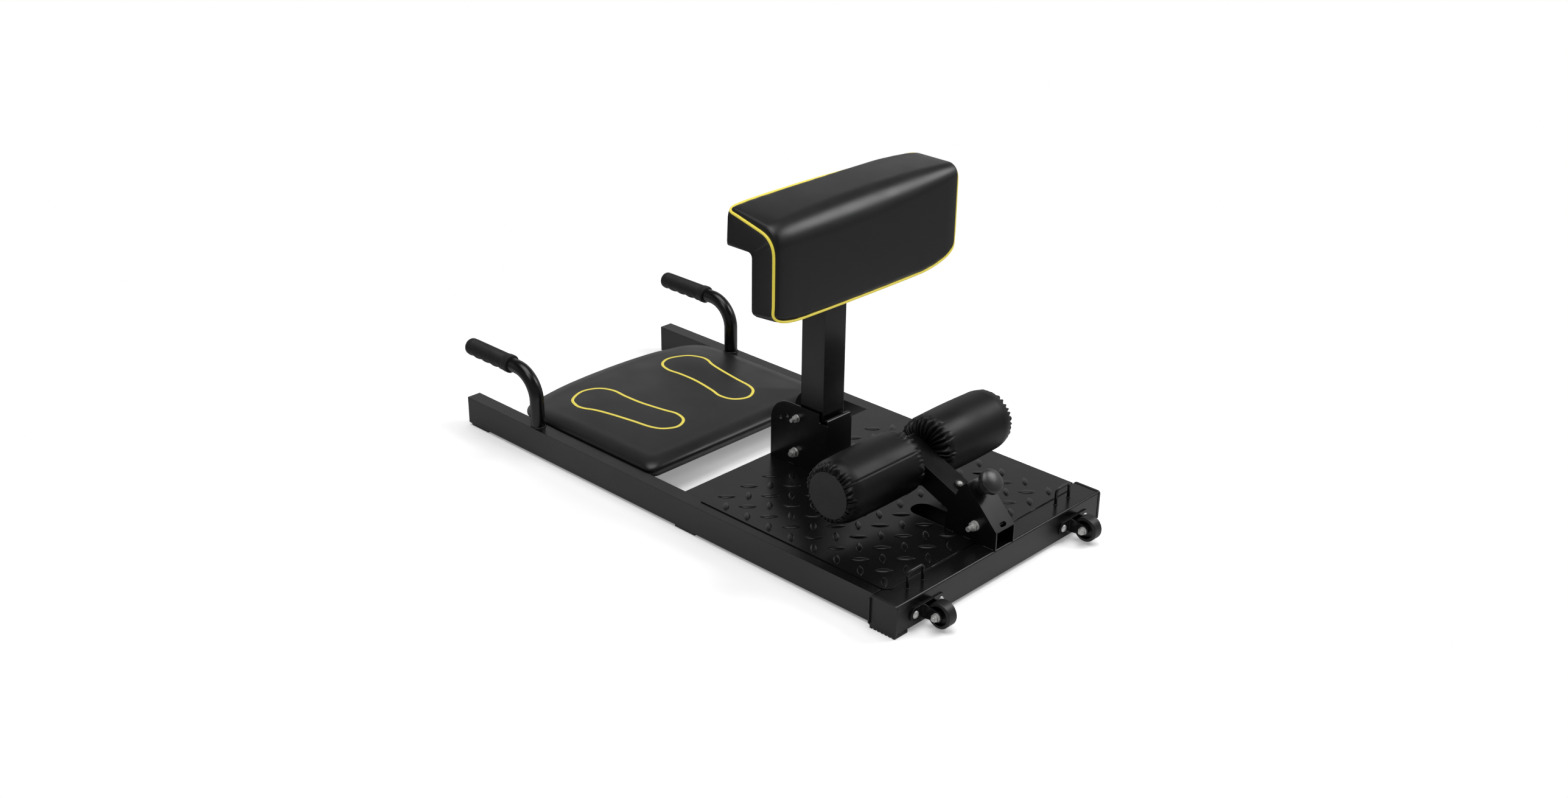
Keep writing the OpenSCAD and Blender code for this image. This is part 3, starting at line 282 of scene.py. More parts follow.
# Softer polyurethane leather of the rollers: blacker, with a deeper grain about 1.6 mm across
grained_leather = finish("grained_leather", "#070708", "#0c0c0d", (0.38, 0.48),
                         [("cells", 1.6, 0.7), ("noise", 0.8, 0.4)], 0.10, IOR=1.38)
# Moulded ABS of the rollers' end discs: matt, grey, with a fine spark-eroded texture
moulded_abs = finish("moulded_abs", "#1d1d1e", "#222223", (0.50, 0.60),
                     [("noise", 0.8, 1.0)], 0.05, edge=1.2, IOR=1.5)
# Moulded polypropylene of caps, plugs and wheels: dull black
moulded_pp = finish("moulded_polypropylene", "#151516", "#1c1c1e", (0.36, 0.46),
                    [("noise", 0.9, 1.0)], 0.06, edge=0.9, IOR=1.49)
# Moulded phenolic of the knob: harder, greyer and glossier, so that its dome holds a highlight
moulded_phenolic = finish("moulded_phenolic", "#29292b", "#323234", (0.28, 0.36),
                          [("noise", 0.9, 1.0)], 0.04, edge=0.9, IOR=1.6)
# Rubber of the grips, feet and stop: matt and dry
rubber = finish("moulded_rubber", "#141414", "#1b1b1b", (0.50, 0.62),
                [("noise", 0.7, 1.0)], 0.06, IOR=1.5)
# Bright zinc plate of bolts and nuts: pale metal under a fine haze, softened by its passivation
zinc_plate = finish("zinc_plated_steel", "#dcdcd9", "#f0f0ee", (0.22, 0.34),
                    [("noise", 0.6, 1.0)], 0.02, patch=8.33, edge=0.5, Metallic=0.5)
# Soft PVC welt cord along the pad's seams: half glossy and yellow, with a weak painted glow that
# makes it brighter than the lamps do
PAINTED_GLOW = {"Emission Color": srgb("#fbe95c"), "Emission Strength": 0.28}
welt_vinyl = finish("welt_vinyl", "#f8e450", "#fdeb5c", (0.36, 0.44),
                    [("noise", 1.0, 1.0)], 0.03, IOR=1.5, **PAINTED_GLOW)
# Screen-printed ink on the push-up pad: the same yellow, duller, with the leathercloth's pebble and
# the same painted glow
printed_ink = finish("printed_ink", "#dfcd55", "#e8d760", (0.45, 0.55),
                     [("cells", 1.1, 0.5), ("noise", 0.5, 0.3)], 0.05, IOR=1.5, **PAINTED_GLOW)
# Birch plywood stained black: open grain that takes the stain unevenly
stained_ply = finish("stained_plywood", "#1c1815", "#2e2620", (0.6, 0.75),
                     [("noise", 2.2, 1.0)], 0.15, patch=28.6, IOR=1.5)

BY_SLOT = {"powder_coat": powder_coat, "black_plastic": moulded_pp, "grey_plastic": moulded_abs,
           "black_rubber": rubber, "zinc_steel": zinc_plate, "black_vinyl": leathercloth,
           "plywood": stained_ply}
for row in frame["record"]["subparts"]:
    NODES[row["node"]].data.materials.clear()
    NODES[row["node"]].data.materials.append(BY_SLOT[row["material_slot"]])
NODES["arm_knob"].data.materials[0] = moulded_phenolic


# Calf pad

# Behind and below, the cover ends 0.4 mm inside the faces of its two boards, at y 410 and z 533
CALF_HALF, CALF_FRONT, CALF_BACK, CALF_REAR = 254.5, 346.0, 409.6, 474.0
CALF_LOW, CALF_SEAT, CALF_TOP = 402.0, 533.4, 610.0
# Radii of the section's corners, and the steps of their arcs
FRONT_LOW_R, BACK_LOW_R, NOTCH_R, SEAT_REAR_R, REAR_TOP_R, BROW_R = 14, 5, 10, 4, 11, 48
CORNER_STEPS, REAR_STEPS, BROW_STEPS = 10, 30, 24
# Points along a section's upright run, its level run and the runs that join the two sides
TALL_RUN, LEVEL_RUN, JOIN_RUN, SECTIONS = 44, 40, 12, 121
# How an end differs from the middle: an edge is drawn in by some mm, from a reach of some mm
# before the end on. A pair is (the left end's number, what the right end adds to it).
FRONT_DRAW, FRONT_REACH, BACK_LOW_RISE = 4.5, 42, 15
LOW_RISE, LOW_REACH, LOW_POWER = (20, 22), (75, 30), (2, -0.4)
TOP_SINK, TOP_REACH, TOP_POWER = (3, 1), (80, 40), 1.5
REAR_DRAW, REAR_REACH, REAR_POWER = (3, 24), (60, 70), 1.3
SEAT_DRAW, SEAT_REACH, NOSE_BELOW, NOSE_SINK, NOSE_REACH = (1, 8), 34, 12, 10, 40
# The nose rises and the brow tightens to the right by LEAN, and the brow tightens to both ends
LEAN, BROW_BOW = 8, 18
# Way from the middle over which the left end's numbers turn into the right end's
SIDE_W = 70
# Near the seam of an end all edges roll over: the reach, and by how much they draw in
ROLL_REACH, ROLL_FRONT, ROLL_LOW, ROLL_TOP = 10, 4, 2, 6
# The lower edge and the nose bow towards the ends, and the right end's top sinks a little more
LOW_BOW, NOSE_BOW, FAR_SINK = 2, 3, 4
# How closely the points crowd at the ends of the front's and the top's runs
FRONT_CROWD, OVER_CROWD = 0.4, 0.3
# Steps of the rear corner's arc behind the upper welt: a pair as above, and its reach
WELT_STEPS, WELT_REACH = (13, 12), 60
# Way over the front and the top from welt to welt, and the size of an end panel
OVER, PANEL_L, PANEL_W = 330, 200, 60
# Depths of the cover's forms, and the widths over which they fade (_W)
SWELL, TUCK, TUCK_W, PUCKER, PUCKER_W = 2.4, 1.2, 3.0, 0.35, 14
DISH, MITRE, MITRE_W, GATHER, GATHER_W = 3.2, 1.3, 1.8, 0.8, 16
# Puckers follow sin(x / PUCKER_PITCH + PUCKER_DRIFT sin(x / DRIFT_PITCH))
PUCKER_PITCH, PUCKER_DRIFT, DRIFT_PITCH = 9.0, 3, 31
# Radians of the gathers' wave in a mm; parts of the panel's width over which two forms fade
GATHER_RATE, MITRE_PARTS, GATHER_PARTS = 0.9, 8, 10
WELT_R, WELT_PROUD, WELT_POINTS, WELT_SIDES, WELT_SMOOTHING = 2.6, 0.9, 520, 14, 10
# The welt stands proud away from WELT_MIDDLE, with distances measured in these half-sizes
WELT_HALVES = (CALF_HALF, 60, 90)
# Points inside the pad, from which its faces and its welt look outwards
COVER_MIDDLE, WELT_MIDDLE = (0, 420, 520), (0, 425, 515)


def drawn(from_end, reach, power=2.0):
    """How far an edge is drawn in at from_end mm from the pad's end: 1 there, 0 from reach mm on.

    With s = 1 - from_end / reach it is 1 - (1 - s^power)^(1/2), for power 2 a quarter ellipse."""
    s = np.clip(1 - from_end / reach, 0, 1)
    return 1 - math.sqrt(max(1 - s ** power, 0))


def calf_stretches(x):
    """Section of the calf pad at x, as its four stretches [y, z].

    outer runs from the lower welt over the front, the nose and the top to the upper welt, inner
    from the back's lower corner to the seat's rear corner; under and rear join them below and
    behind. Towards the ends the lower front edge rises, the nose sinks and everything draws in.
    The pad is filled by hand, so its right end is rounder below and fuller at the nose: a pair
    gives its first number plus its second times (1 + tanh(x / SIDE_W)) / 2. A bow grows with
    (x / CALF_HALF)^2."""
    from_end = CALF_HALF - abs(x)
    far = (1 + math.tanh(x / SIDE_W)) / 2
    bow = (x / CALF_HALF) ** 2
    roll_over = drawn(from_end, ROLL_REACH)

    def at(pair):
        return pair[0] + pair[1] * far

    front_y = (CALF_FRONT + FRONT_DRAW * drawn(from_end, FRONT_REACH)
               + ROLL_FRONT * roll_over + bow)
    low_z = (CALF_LOW + at(LOW_RISE) * drawn(from_end, at(LOW_REACH), at(LOW_POWER))
             + ROLL_LOW * roll_over + LOW_BOW * bow)
    back_low_z = CALF_LOW + BACK_LOW_RISE * drawn(from_end, FRONT_REACH) + LOW_BOW * bow
    top_z = (CALF_TOP - at(TOP_SINK) * drawn(from_end, at(TOP_REACH), TOP_POWER)
             - FAR_SINK * far * drawn(from_end, SEAT_REACH) - ROLL_TOP * roll_over - bow)
    rear_y = CALF_REAR - at(REAR_DRAW) * drawn(from_end, at(REAR_REACH), REAR_POWER) - roll_over
    nose_z = (CALF_TOP - NOSE_BELOW - ROLL_TOP * roll_over
              - NOSE_SINK * (1 - far) * drawn(from_end, NOSE_REACH) - NOSE_BOW * bow
              + LEAN * x / CALF_HALF)
    seat_y = CALF_REAR - at(SEAT_DRAW) * drawn(from_end, SEAT_REACH)
    brow_r = BROW_R - LEAN * x / CALF_HALF - BROW_BOW * bow
    low_front, low_back, inside = (front_y, low_z), (CALF_BACK, back_low_z), (CALF_BACK, CALF_SEAT)
    low_seat, high_rear, nose_tip = (seat_y, CALF_SEAT), (rear_y, top_z), (front_y, nose_z)
    front_low = round_corner(nose_tip, low_front, low_back, FRONT_LOW_R, CORNER_STEPS)
    back_low = round_corner(low_front, low_back, inside, BACK_LOW_R, CORNER_STEPS)
    notch = round_corner(low_back, inside, low_seat, NOTCH_R, CORNER_STEPS)
    seat_rear = round_corner(inside, low_seat, high_rear, SEAT_REAR_R, CORNER_STEPS)
    rear_top = round_corner(low_seat, high_rear, nose_tip, REAR_TOP_R, REAR_STEPS)
    brow = round_corner(high_rear, nose_tip, low_front, brow_r, BROW_STEPS)
    # Seams run at the middle of each corner; the upper welt comes forward over the right end
    mid, brow_mid = CORNER_STEPS // 2, BROW_STEPS // 2
    behind = WELT_STEPS[0] + WELT_STEPS[1] * far * (1 - drawn(from_end, WELT_REACH))
    welt_at = REAR_STEPS - int(round(behind))
    front = np.concatenate([front_low[mid::-1], brow[:brow_mid - 1:-1]])
    over = np.concatenate([brow[brow_mid::-1], rear_top[:welt_at - 1:-1]])
    back = np.concatenate([back_low[mid:], notch[:mid + 1]])
    seat = np.concatenate([notch[mid:], seat_rear[:mid + 1]])
    under = np.concatenate([front_low[mid:], back_low[:mid + 1]])
    rear = np.concatenate([rear_top[welt_at::-1], seat_rear[:mid - 1:-1]])
    outer = np.concatenate([resampled(front, TALL_RUN, crowd=FRONT_CROWD),
                            resampled(over, LEVEL_RUN, crowd=OVER_CROWD)[1:]])
    inner = np.concatenate([resampled(back, TALL_RUN), resampled(seat, LEVEL_RUN)[1:]])
    return outer, inner, resampled(under, JOIN_RUN), resampled(rear, JOIN_RUN)


def end_panel(outer, inner, under, rear):
    """End panel of the calf pad between the ends of its four stretches.

    It is their Coons patch, dished inwards by (16 t (1 - t) v (1 - v))^(1/2) of the dish's depth,
    with the mitre seam as a narrow groove from the notch to the nose and small gathers there."""
    t = np.linspace(0, 1, len(outer))[:, None, None]
    v = np.linspace(0, 1, len(under))[None, :, None]
    patch = ((1 - v) * outer[:, None] + v * inner[:, None] + (1 - t) * under[None] + t * rear[None]
             - (1 - t) * ((1 - v) * outer[0] + v * inner[0])
             - t * ((1 - v) * outer[-1] + v * inner[-1]))
    t, v = t[..., 0], v[..., 0]
    from_seam = (t - (TALL_RUN - 1) / (TALL_RUN + LEVEL_RUN - 2)) * PANEL_L
    dish = DISH * (16 * t * (1 - t) * v * (1 - v)) ** 0.5
    seam = (MITRE * np.exp(-(from_seam / MITRE_W) ** 2)
            * np.minimum(1, MITRE_PARTS * np.minimum(v, 1 - v)))
    near_nose = np.exp(-(np.hypot(from_seam, v * PANEL_W) / GATHER_W) ** 2)
    gather = GATHER * near_nose * np.cos(from_seam * GATHER_RATE) * np.minimum(
        1, GATHER_PARTS * v)
    patch[..., 0] += -np.sign(patch[..., 0]) * (dish + seam - gather)
    return patch


def calf_cover():
    """Cover of the calf pad: grids over (x, way round the section), and its two end panels.

    s goes from welt to welt. The front and the top swell by sin(pi s) cos(pi x / 2h)^(1/2) of the
    swell, tuck in by e^-(d / w)^2 at d mm from a welt, and pucker by e^(-d / w) beside it. Gives
    their grid."""
    x = CALF_HALF * np.sin(np.linspace(-np.pi / 2, np.pi / 2, SECTIONS))
    rows = [calf_stretches(v) for v in x]
    stretches = []
    for k in range(4):
        flat = np.stack([row[k] for row in rows])
        wide = np.broadcast_to(x[:, None, None], (*flat.shape[:2], 1))
        stretches.append(np.concatenate([wide, flat], axis=2))
    outer, inner, under, rear = stretches
    s = np.linspace(0, 1, outer.shape[1])
    out = unit(np.cross(np.gradient(outer, axis=1), np.gradient(outer, axis=0)))
    out *= np.sign(np.sum(out * (outer - COVER_MIDDLE), axis=2, keepdims=True))
    edge = np.minimum(np.minimum(s * OVER, (1 - s) * OVER)[None], (CALF_HALF - np.abs(x))[:, None])
    swell = SWELL * np.sin(np.pi * s)[None] * np.cos(np.pi / 2 * x / CALF_HALF)[:, None] ** 0.5
    tuck = -TUCK * np.exp(-(edge / TUCK_W) ** 2)
    wave = np.sin(x[:, None] / PUCKER_PITCH + PUCKER_DRIFT * np.sin(x[:, None] / DRIFT_PITCH))
    pucker = PUCKER * np.exp(-edge / PUCKER_W) * wave * (edge > 0)
    off_seams = (np.abs(x) < CALF_HALF - 1e-6)[:, None, None] & ((s > 0) & (s < 1))[None, :, None]
    outer = outer + out * (swell + tuck + pucker)[..., None] * np.where(off_seams, 1, 0)
    grids = [outer, inner, under, rear]
    grids += [end_panel(*(grid[end] for grid in grids)) for end in (0, -1)]
    cover = surface("calf_pad_cover", [(grid, False, False) for grid in grids], leathercloth,
                    "post")
    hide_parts("calf_pad")
    return outer


def calf_welt(outer):
    """Welt cord round the front and top panel: a tube carried along the panel's four edges."""
    ends = [outer[0], outer[:, -1], outer[-1, ::-1], outer[::-1, 0]]
    loop = resampled(np.concatenate([e[:-1] for e in ends]), WELT_POINTS, closed=True)
    for _ in range(WELT_SMOOTHING):
        loop = (np.roll(loop, 1, 0) + 2 * loop + np.roll(loop, -1, 0)) / 4
    away = unit((loop - WELT_MIDDLE) * [1 / half for half in WELT_HALVES])
    cord = tube(loop + away * WELT_PROUD, WELT_R, away, WELT_SIDES, closed=True)
    surface("calf_pad_welt", [cord], welt_vinyl, "post")


calf_welt(calf_cover())


# Push-up pad

PAD_Y, PAD_L, PAD_HALF, PAD_Z, PAD_T, PAD_CROWN = 678.0, 448.0, 265.0, -10.0, 26.0, 4.5
PAD_ARCH, PAD_RIM, PAD_RIM_W, BOARD_T = 24.0, 15.0, 38.0, 12.0
PAD_FRONT_R, PAD_REAR_R, PAD_POINTS = 24, 60, 300
# The rear arch is drawn over this share of the half-width, and the corners' radii shrink by
# this share of what the outline is drawn in
ARCH_SHARE, SHRINK = 0.55, 0.3
# Angle in degrees to which the rim turns, and where the top takes over: at a share of the
# rim's width, and so far below its height
RIM_TURN, TOP_FROM, TOP_BELOW = 84, 0.9, 0.08
# Way over which the top rises to its crown, and the rim's pull: its depth, height and spread
PAD_RISE_W, PULL, PULL_Z, PULL_W = 152, 0.45, 9, 6
# The pull's waves: share, number round the pad, and a drift by so much, so many times round
PULL_WAVES = ((1, 31, 2, 3), (0.6, 53, 1, 5))
# The rear corners are lower by this share, over this distance
CORNER_SINK, CORNER_W = 0.3, 90
# Width and thickness of the printed line, how far it stands proud of the cover, and the height
# above the crown from which it is dropped
INK_W, INK_T, INK_PROUD, INK_DROP, SOLE_POINTS = 6.2, 0.3, 0.2, 6, 240
# The left sole's outline [x, y], with x measured from SOLE_X0 mm left of the pad's middle, and
# the shift [x, y] of the left (-1) and the right (1) sole
SOLE_X0, SOLE_SHIFT = 306.5, {-1: (2.6, 3.4), 1: (5.6, 3.4)}
SOLE = np.array([
    (134, 1028.7), (173.5, 1045.1), (207.5, 1030.7), (221.9, 997.1), (219.8, 955), (221.5, 904.1),
    (230.9, 847.4), (238.4, 814), (228.8, 783), (199.5, 768.5), (170.5, 781), (156.5, 806),
    (149.5, 852.8), (139.7, 910), (130.3, 950), (119.5, 977.1), (119, 1000)])


def pad_outline(d):
    """Outline [x, y] of the push-up pad drawn in by d: straight front and sides, arched rear.

    At t half-widths from the middle the rear falls back by t^2 of the arch. Arcs round the
    corners."""
    w, front, rear = PAD_HALF - d, PAD_Y + d, PAD_Y + PAD_L - d
    front_r, rear_r = max(PAD_FRONT_R - SHRINK * d, 6), max(PAD_REAR_R - SHRINK * d, 10)
    arch = [(w * t, rear - PAD_ARCH * t * t) for t in np.linspace(ARCH_SHARE, -ARCH_SHARE, 15)]
    a, b, c, e = (-w, front), (w, front), (w, rear - PAD_ARCH), (-w, rear - PAD_ARCH)
    near_left = round_corner(e, a, b, front_r)
    path = np.concatenate([
        [(0.0, front)], round_corner(a, b, c, front_r), round_corner(b, c, arch[0], rear_r, 16),
        arch, round_corner(arch[-1], e, a, rear_r, 16), near_left])
    return resampled(path, PAD_POINTS, closed=True)


def push_up_cover():
    """Cover of the push-up pad: rings of its outline, from the fold under the board to the crown.

    Each ring is (draw-in, height above the underside). The rim is an ellipse, the top a parabola.
    The side is pulled into shallow waves, and the rear corners are a little lower."""
    turn = np.radians(np.linspace(0, RIM_TURN, 15))
    rise = np.linspace(0, 1, 12)
    rings = [(46, -BOARD_T + 0.2), (46, -BOARD_T - 0.7), (19, -BOARD_T - 0.7), (16, -BOARD_T),
             (14.5, -9), (12, -5), (7, -1.5), (3, 1.5), (0.8, 5), (0, 9)]
    rings += [(PAD_RIM_W * (1 - math.cos(a)), PAD_T - PAD_RIM + PAD_RIM * math.sin(a))
              for a in turn]
    rings += [(PAD_RIM_W * TOP_FROM + PAD_RISE_W * s,
               PAD_T - TOP_BELOW + PAD_CROWN * (1 - (1 - s) ** 2)) for s in rise]
    rows = []
    for d, h in rings:
        flat = pad_outline(d)
        angle = np.linspace(0, 2 * np.pi, len(flat), endpoint=False)
        pull = PULL * np.exp(-((h - PULL_Z) / PULL_W) ** 2) * sum(
            share * np.sin(number * angle + drift * np.sin(times * angle))
            for share, number, drift, times in PULL_WAVES)
        corner = np.hypot(np.abs(flat[:, 0]) - PAD_HALF,
                          flat[:, 1] - PAD_Y - PAD_L + PAD_ARCH / 2) / CORNER_W
        full = 1 - CORNER_SINK * np.exp(-corner ** 2) * (0 < h)
        rows.append(np.column_stack([flat, PAD_Z + h * full + pull * (0 < h)]))
    cover = surface("push_up_pad_cover", [(capped(np.stack(rows)), False, True)], leathercloth,
                    "frame")
    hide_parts("push_up_pad")
    return cover


def footprint(name, side, cover):
    """Printed sole outline: a flat ribbon along a closed curve, dropped on the cover.

    The right sole is the left one's mirror image, 3 mm nearer the middle."""
    sole = SOLE + SOLE_SHIFT[side]
    sole[:, 0] = side * (SOLE_X0 - sole[:, 0])
    curve = closed_spline(sole, SOLE_POINTS)
    along = unit(np.roll(curve, -1, 0) - np.roll(curve, 1, 0))
    across = np.column_stack([along[:, 1], -along[:, 0]])
    width = np.linspace(-INK_W / 2, INK_W / 2, 5)
    flat = curve[:, None] + width[None, :, None] * across[:, None]
    above = np.full((*flat.shape[:2], 1), PAD_Z + PAD_T + PAD_CROWN + INK_DROP)
    ribbon = surface(name, [(np.concatenate([flat, above], axis=2), True, False)], printed_ink,
                     "frame")
    drop = ribbon.modifiers.new("drop", "SHRINKWRAP")
    drop.target, drop.wrap_method, drop.offset = cover, "PROJECT", INK_PROUD * MM
    drop.use_project_z, drop.use_negative_direction, drop.use_positive_direction = True, True, False
    settled = ribbon.evaluated_get(bpy.context.evaluated_depsgraph_get())
    settled = bpy.data.meshes.new_from_object(settled)
    ribbon.modifiers.clear()
    ribbon.data = settled
    skin = ribbon.modifiers.new("ink", "SOLIDIFY")
    skin.thickness, skin.offset = INK_T * MM, -1


pad_cover = push_up_cover()
for foot, foot_side in (("left_footprint", -1), ("right_footprint", 1)):
    footprint(foot, foot_side, pad_cover)


# Rollers

ARM_REST = math.radians(22.7)
ARM_PIVOT = np.array([0, 49.0, 35.5])
ARM_REACH = 193.0
ROLLER_R, ROLLER_L, ROLLER_X, DISC_R, CORE_R = 63.5, 214.0, 26.5, 46.0, 15.05
SHOULDER_L = 33.0
# Points along and round the cover
COVER_WAY, COVER_TURN = 150, 480
ROLLER_CENTRE = ARM_PIVOT + ARM_REACH * np.array([0, math.cos(ARM_REST), math.sin(ARM_REST)])
# Radius of the inner shoulder, crown of the barrel, the mm from the inner and the outer end to
# the barrel, from the outer end to the cover's edge, and how far a fold may stand proud
INNER_R, CROWN, BARREL_FROM, BARREL_TO, COVER_END, PROUD = 26, 1, 32, 40, 1.5, 1.5
# Folds at the inner and outer mouth: how many, how high, how far they reach on average, by how
# much that varies, the share of it where they are half as high, the mm over which they fade
# there, and the mm that each mm down the end's face takes off the way from the mouth
IN_PLEATS, IN_FOLD, IN_REACH, IN_VARY, IN_HALF, IN_FADE, IN_DOWN = (
    32, 7.2, 30, 13, 0.55, 4.2, 0.55)
OUT_PLEATS, OUT_FOLD, OUT_REACH, OUT_VARY, OUT_HALF, OUT_FADE, OUT_DOWN = (
    34, 6.0, 19, 9, 0.45, 3.2, 0.7)
# Where the cover's own surface lies between a fold's valley, 0, and its ridge, 1
FOLD_LEVEL = 0.62
# Radians by which a slow and a quick wave would warp the angle of a single fold
SLOW_WARP, QUICK_WARP = 2.6, 1.2
CRUMPLE, CRUMPLE_PITCH, CRUMPLE_DRIFT, DRAPE = 1.1, 2.9, 6, 0.35
# Valley of the seam, and the low ridges at RIDGE_AT mm beside it
SEAM, SEAM_W, RIDGE, RIDGE_AT, RIDGE_W = 0.8, 1.1, 0.15, 4, 2.2
STITCH, STITCH_PITCH, STITCH_FROM, STITCH_TO, STITCH_SIDES = 3.2, 4.4, 30, 24, 6
# How deep the stitches sit, how high each arches, and the length over which their line is
# crowned like the barrel
STITCH_SINK, STITCH_ARCH, STITCH_CROWN_L = 0.6, 0.25, ROLLER_L - 57


def wander(angle, seed, terms, low):
    """Smooth random wave round a circle, about -1 to 1.

    It is a sum of cosines, terms of them, with low, low + 1 and so on waves in a turn. Their
    phases and their shares, 0.4 to 1, are seeded."""
    chance = np.random.default_rng(seed)
    k = np.arange(low, low + terms)
    phase, share = chance.uniform(0, 2 * np.pi, terms), chance.uniform(0.4, 1, terms)
    wave = np.cos(np.multiply.outer(angle, k) + phase) @ share
    return wave / share.sum() * 1.6


def pleats(angle, count, seed):
    """Gathered folds round a circle, 0 in the valleys to 1 on the ridges: |sin(n a / 2)|^0.75.

    The angle is warped by two random waves, which makes the folds unevenly wide."""
    warped = (angle + SLOW_WARP / count * wander(angle, seed, 9, 2)
              + QUICK_WARP / count * wander(angle, seed + 1, 9, 7))
    return np.abs(np.sin(count * warped / 2)) ** 0.75


def roller_profile():
    """Profile [way along, radius] of a roller's cover, from its inner mouth to its end disc.

    It is a quarter circle, a barrel crowned by half a wave of sine, and a quarter ellipse, with
    the hem tucked in at both ends."""
    inner = np.radians(np.linspace(-90, 0, 30))
    outer = np.radians(np.linspace(0, 90, 26))
    barrel = np.linspace(0, 1, 38)
    return np.concatenate([
        [[4, CORE_R + 1], [1.8, CORE_R + 4]],
        np.column_stack([INNER_R + INNER_R * np.sin(inner),
                         ROLLER_R - CROWN - INNER_R + INNER_R * np.cos(inner)]),
        np.column_stack([np.linspace(BARREL_FROM, ROLLER_L - BARREL_TO, 38),
                         ROLLER_R - CROWN + CROWN * np.sin(np.pi * barrel)]),
        np.column_stack([ROLLER_L - COVER_END - SHOULDER_L * (1 - np.sin(outer)),
                         DISC_R + 0.5 + (ROLLER_R - CROWN - 0.5 - DISC_R) * np.cos(outer)]),
        [[ROLLER_L - COVER_END, DISC_R + 0.3], [ROLLER_L - 4, DISC_R - 0.5]]])


def roller_cover(name, side, seed, seam_angle):
    """Cover of a roller: its profile turned about the axis, and raised along its normal.

    Folds raise it near both ends, most at the mouths, where the cover is gathered, and die away
    over the shoulders. The lengthwise seam is a narrow valley. The angle is measured from the
    front, upwards."""
    fine = resampled(roller_profile(), COVER_WAY)
    along = unit(np.gradient(fine, axis=0))
    normal = np.column_stack([-along[:, 1], along[:, 0]])
    angle = np.linspace(0, 2 * np.pi, COVER_TURN, endpoint=False)
    way, radius = fine[:, 0][:, None], fine[:, 1][:, None]
    # Fold strength falls from each mouth over a length that differs from fold to fold
    reach_in = IN_REACH + IN_VARY * wander(angle, seed + 2, 8, 5)[None]
    reach_out = OUT_REACH + OUT_VARY * wander(angle, seed + 3, 8, 5)[None]
    down, inner_half = np.maximum(ROLLER_R - 2 - radius, 0), way < ROLLER_L / 2
    from_inner = np.maximum(way, 0) - IN_DOWN * down * inner_half
    from_outer = (ROLLER_L - way) - OUT_DOWN * down * ~inner_half
    fade_in = fading(from_inner - reach_in * IN_HALF, IN_FADE)
    fade_out = fading(from_outer - reach_out * OUT_HALF, OUT_FADE)
    # Folds are lower where the mouths hold the cover, and at the outer end's rim
    mouth_in = ramp(radius - CORE_R - 2, width=12, lowest=0.15)
    mouth_out = ramp(radius - DISC_R + 1.5, width=4, lowest=0.1)
    rim = ramp(ROLLER_R - CROWN - radius, width=10, lowest=0.25)
    in_pleats = pleats(angle, IN_PLEATS, seed)[None] - FOLD_LEVEL
    out_pleats = pleats(angle, OUT_PLEATS, seed + 7)[None] - FOLD_LEVEL
    folds = (IN_FOLD * fade_in * mouth_in * in_pleats
             + OUT_FOLD * fade_out * mouth_out * rim * out_pleats)
    crumple = CRUMPLE * (fade_in + fade_out) * np.sin(
        way / CRUMPLE_PITCH + CRUMPLE_DRIFT * wander(angle, seed + 5, 9, 4)[None])
    drape = DRAPE * wander(angle, seed + 6, 5, 2)[None] * np.sin(np.pi * way / ROLLER_L)
    turn = (angle - seam_angle + np.pi) % (2 * np.pi) - np.pi
    seam = (-SEAM * np.exp(-(turn * ROLLER_R / SEAM_W) ** 2)[None]
            + RIDGE * np.exp(-((np.abs(turn) * ROLLER_R - RIDGE_AT) / RIDGE_W) ** 2)[None])
    lift = folds + crumple + drape + seam * ramp(radius - DISC_R, width=8)
    way = way + lift * normal[:, 0][:, None]
    radius = np.minimum(radius + lift * normal[:, 1][:, None], ROLLER_R + PROUD)
    points = np.stack([side * (ROLLER_X + way) * np.ones_like(angle), -radius * np.cos(angle),
                       radius * np.sin(angle)], axis=2) + ROLLER_CENTRE
    body = name.replace("_cover", "")
    cover = surface(name, [(capped(points), False, True)], grained_leather, body)
    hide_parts(body)


def roller_stitches(name, side, seam_angle):
    """Stitches along a roller's seam: short capsules on the seam's line, one every pitch."""
    starts = np.arange(STITCH_FROM, ROLLER_L - STITCH_TO, STITCH_PITCH)
    out = np.array([0, -math.cos(seam_angle), math.sin(seam_angle)])
    t = np.array([0, 0.35, 1.6, 2.85, STITCH])
    radius = np.array([0.2, 0.42, 0.5, 0.42, 0.2])
    crown = ROLLER_R - CROWN + CROWN * np.sin(np.pi * ramp(starts - BARREL_FROM, STITCH_CROWN_L))
    arched = STITCH_ARCH * np.sin(np.pi * t / STITCH)
    sheets = []
    for s, r in zip(starts, crown):
        path = ROLLER_CENTRE + np.column_stack([side * (ROLLER_X + s + t), np.zeros((len(t), 2))])
        sheets.append(tube(path + out * (r - STITCH_SINK + arched)[:, None], radius, out,
                           STITCH_SIDES))
    surface(name, sheets, grained_leather, name.replace("_stitches", ""))


for roller, roller_side, roller_seed, seam_at in (
        ("left_roller", -1, 11, 38.5), ("right_roller", 1, 40, 205)):
    roller_cover(roller + "_cover", roller_side, roller_seed, math.radians(seam_at))
    roller_stitches(roller + "_stitches", roller_side, math.radians(seam_at))


# Grips

GRIP_X, GRIP_Z, GRIP_END, GRIP_L, GRIP_R = 284.5, 117.0, 1230.0, 143.0, 18.25
# Points along and round the skin
GRIP_WAY, GRIP_TURN = 420, 96
# Radius of the round end; length, height, edge and rounding of the collar, and its draw-in there
GRIP_ROUND, COLLAR_L, COLLAR_H, COLLAR_EDGE, COLLAR_ROUND, COLLAR_IN = 8.0, 14, 1.5, 0.5, 2, 2.2
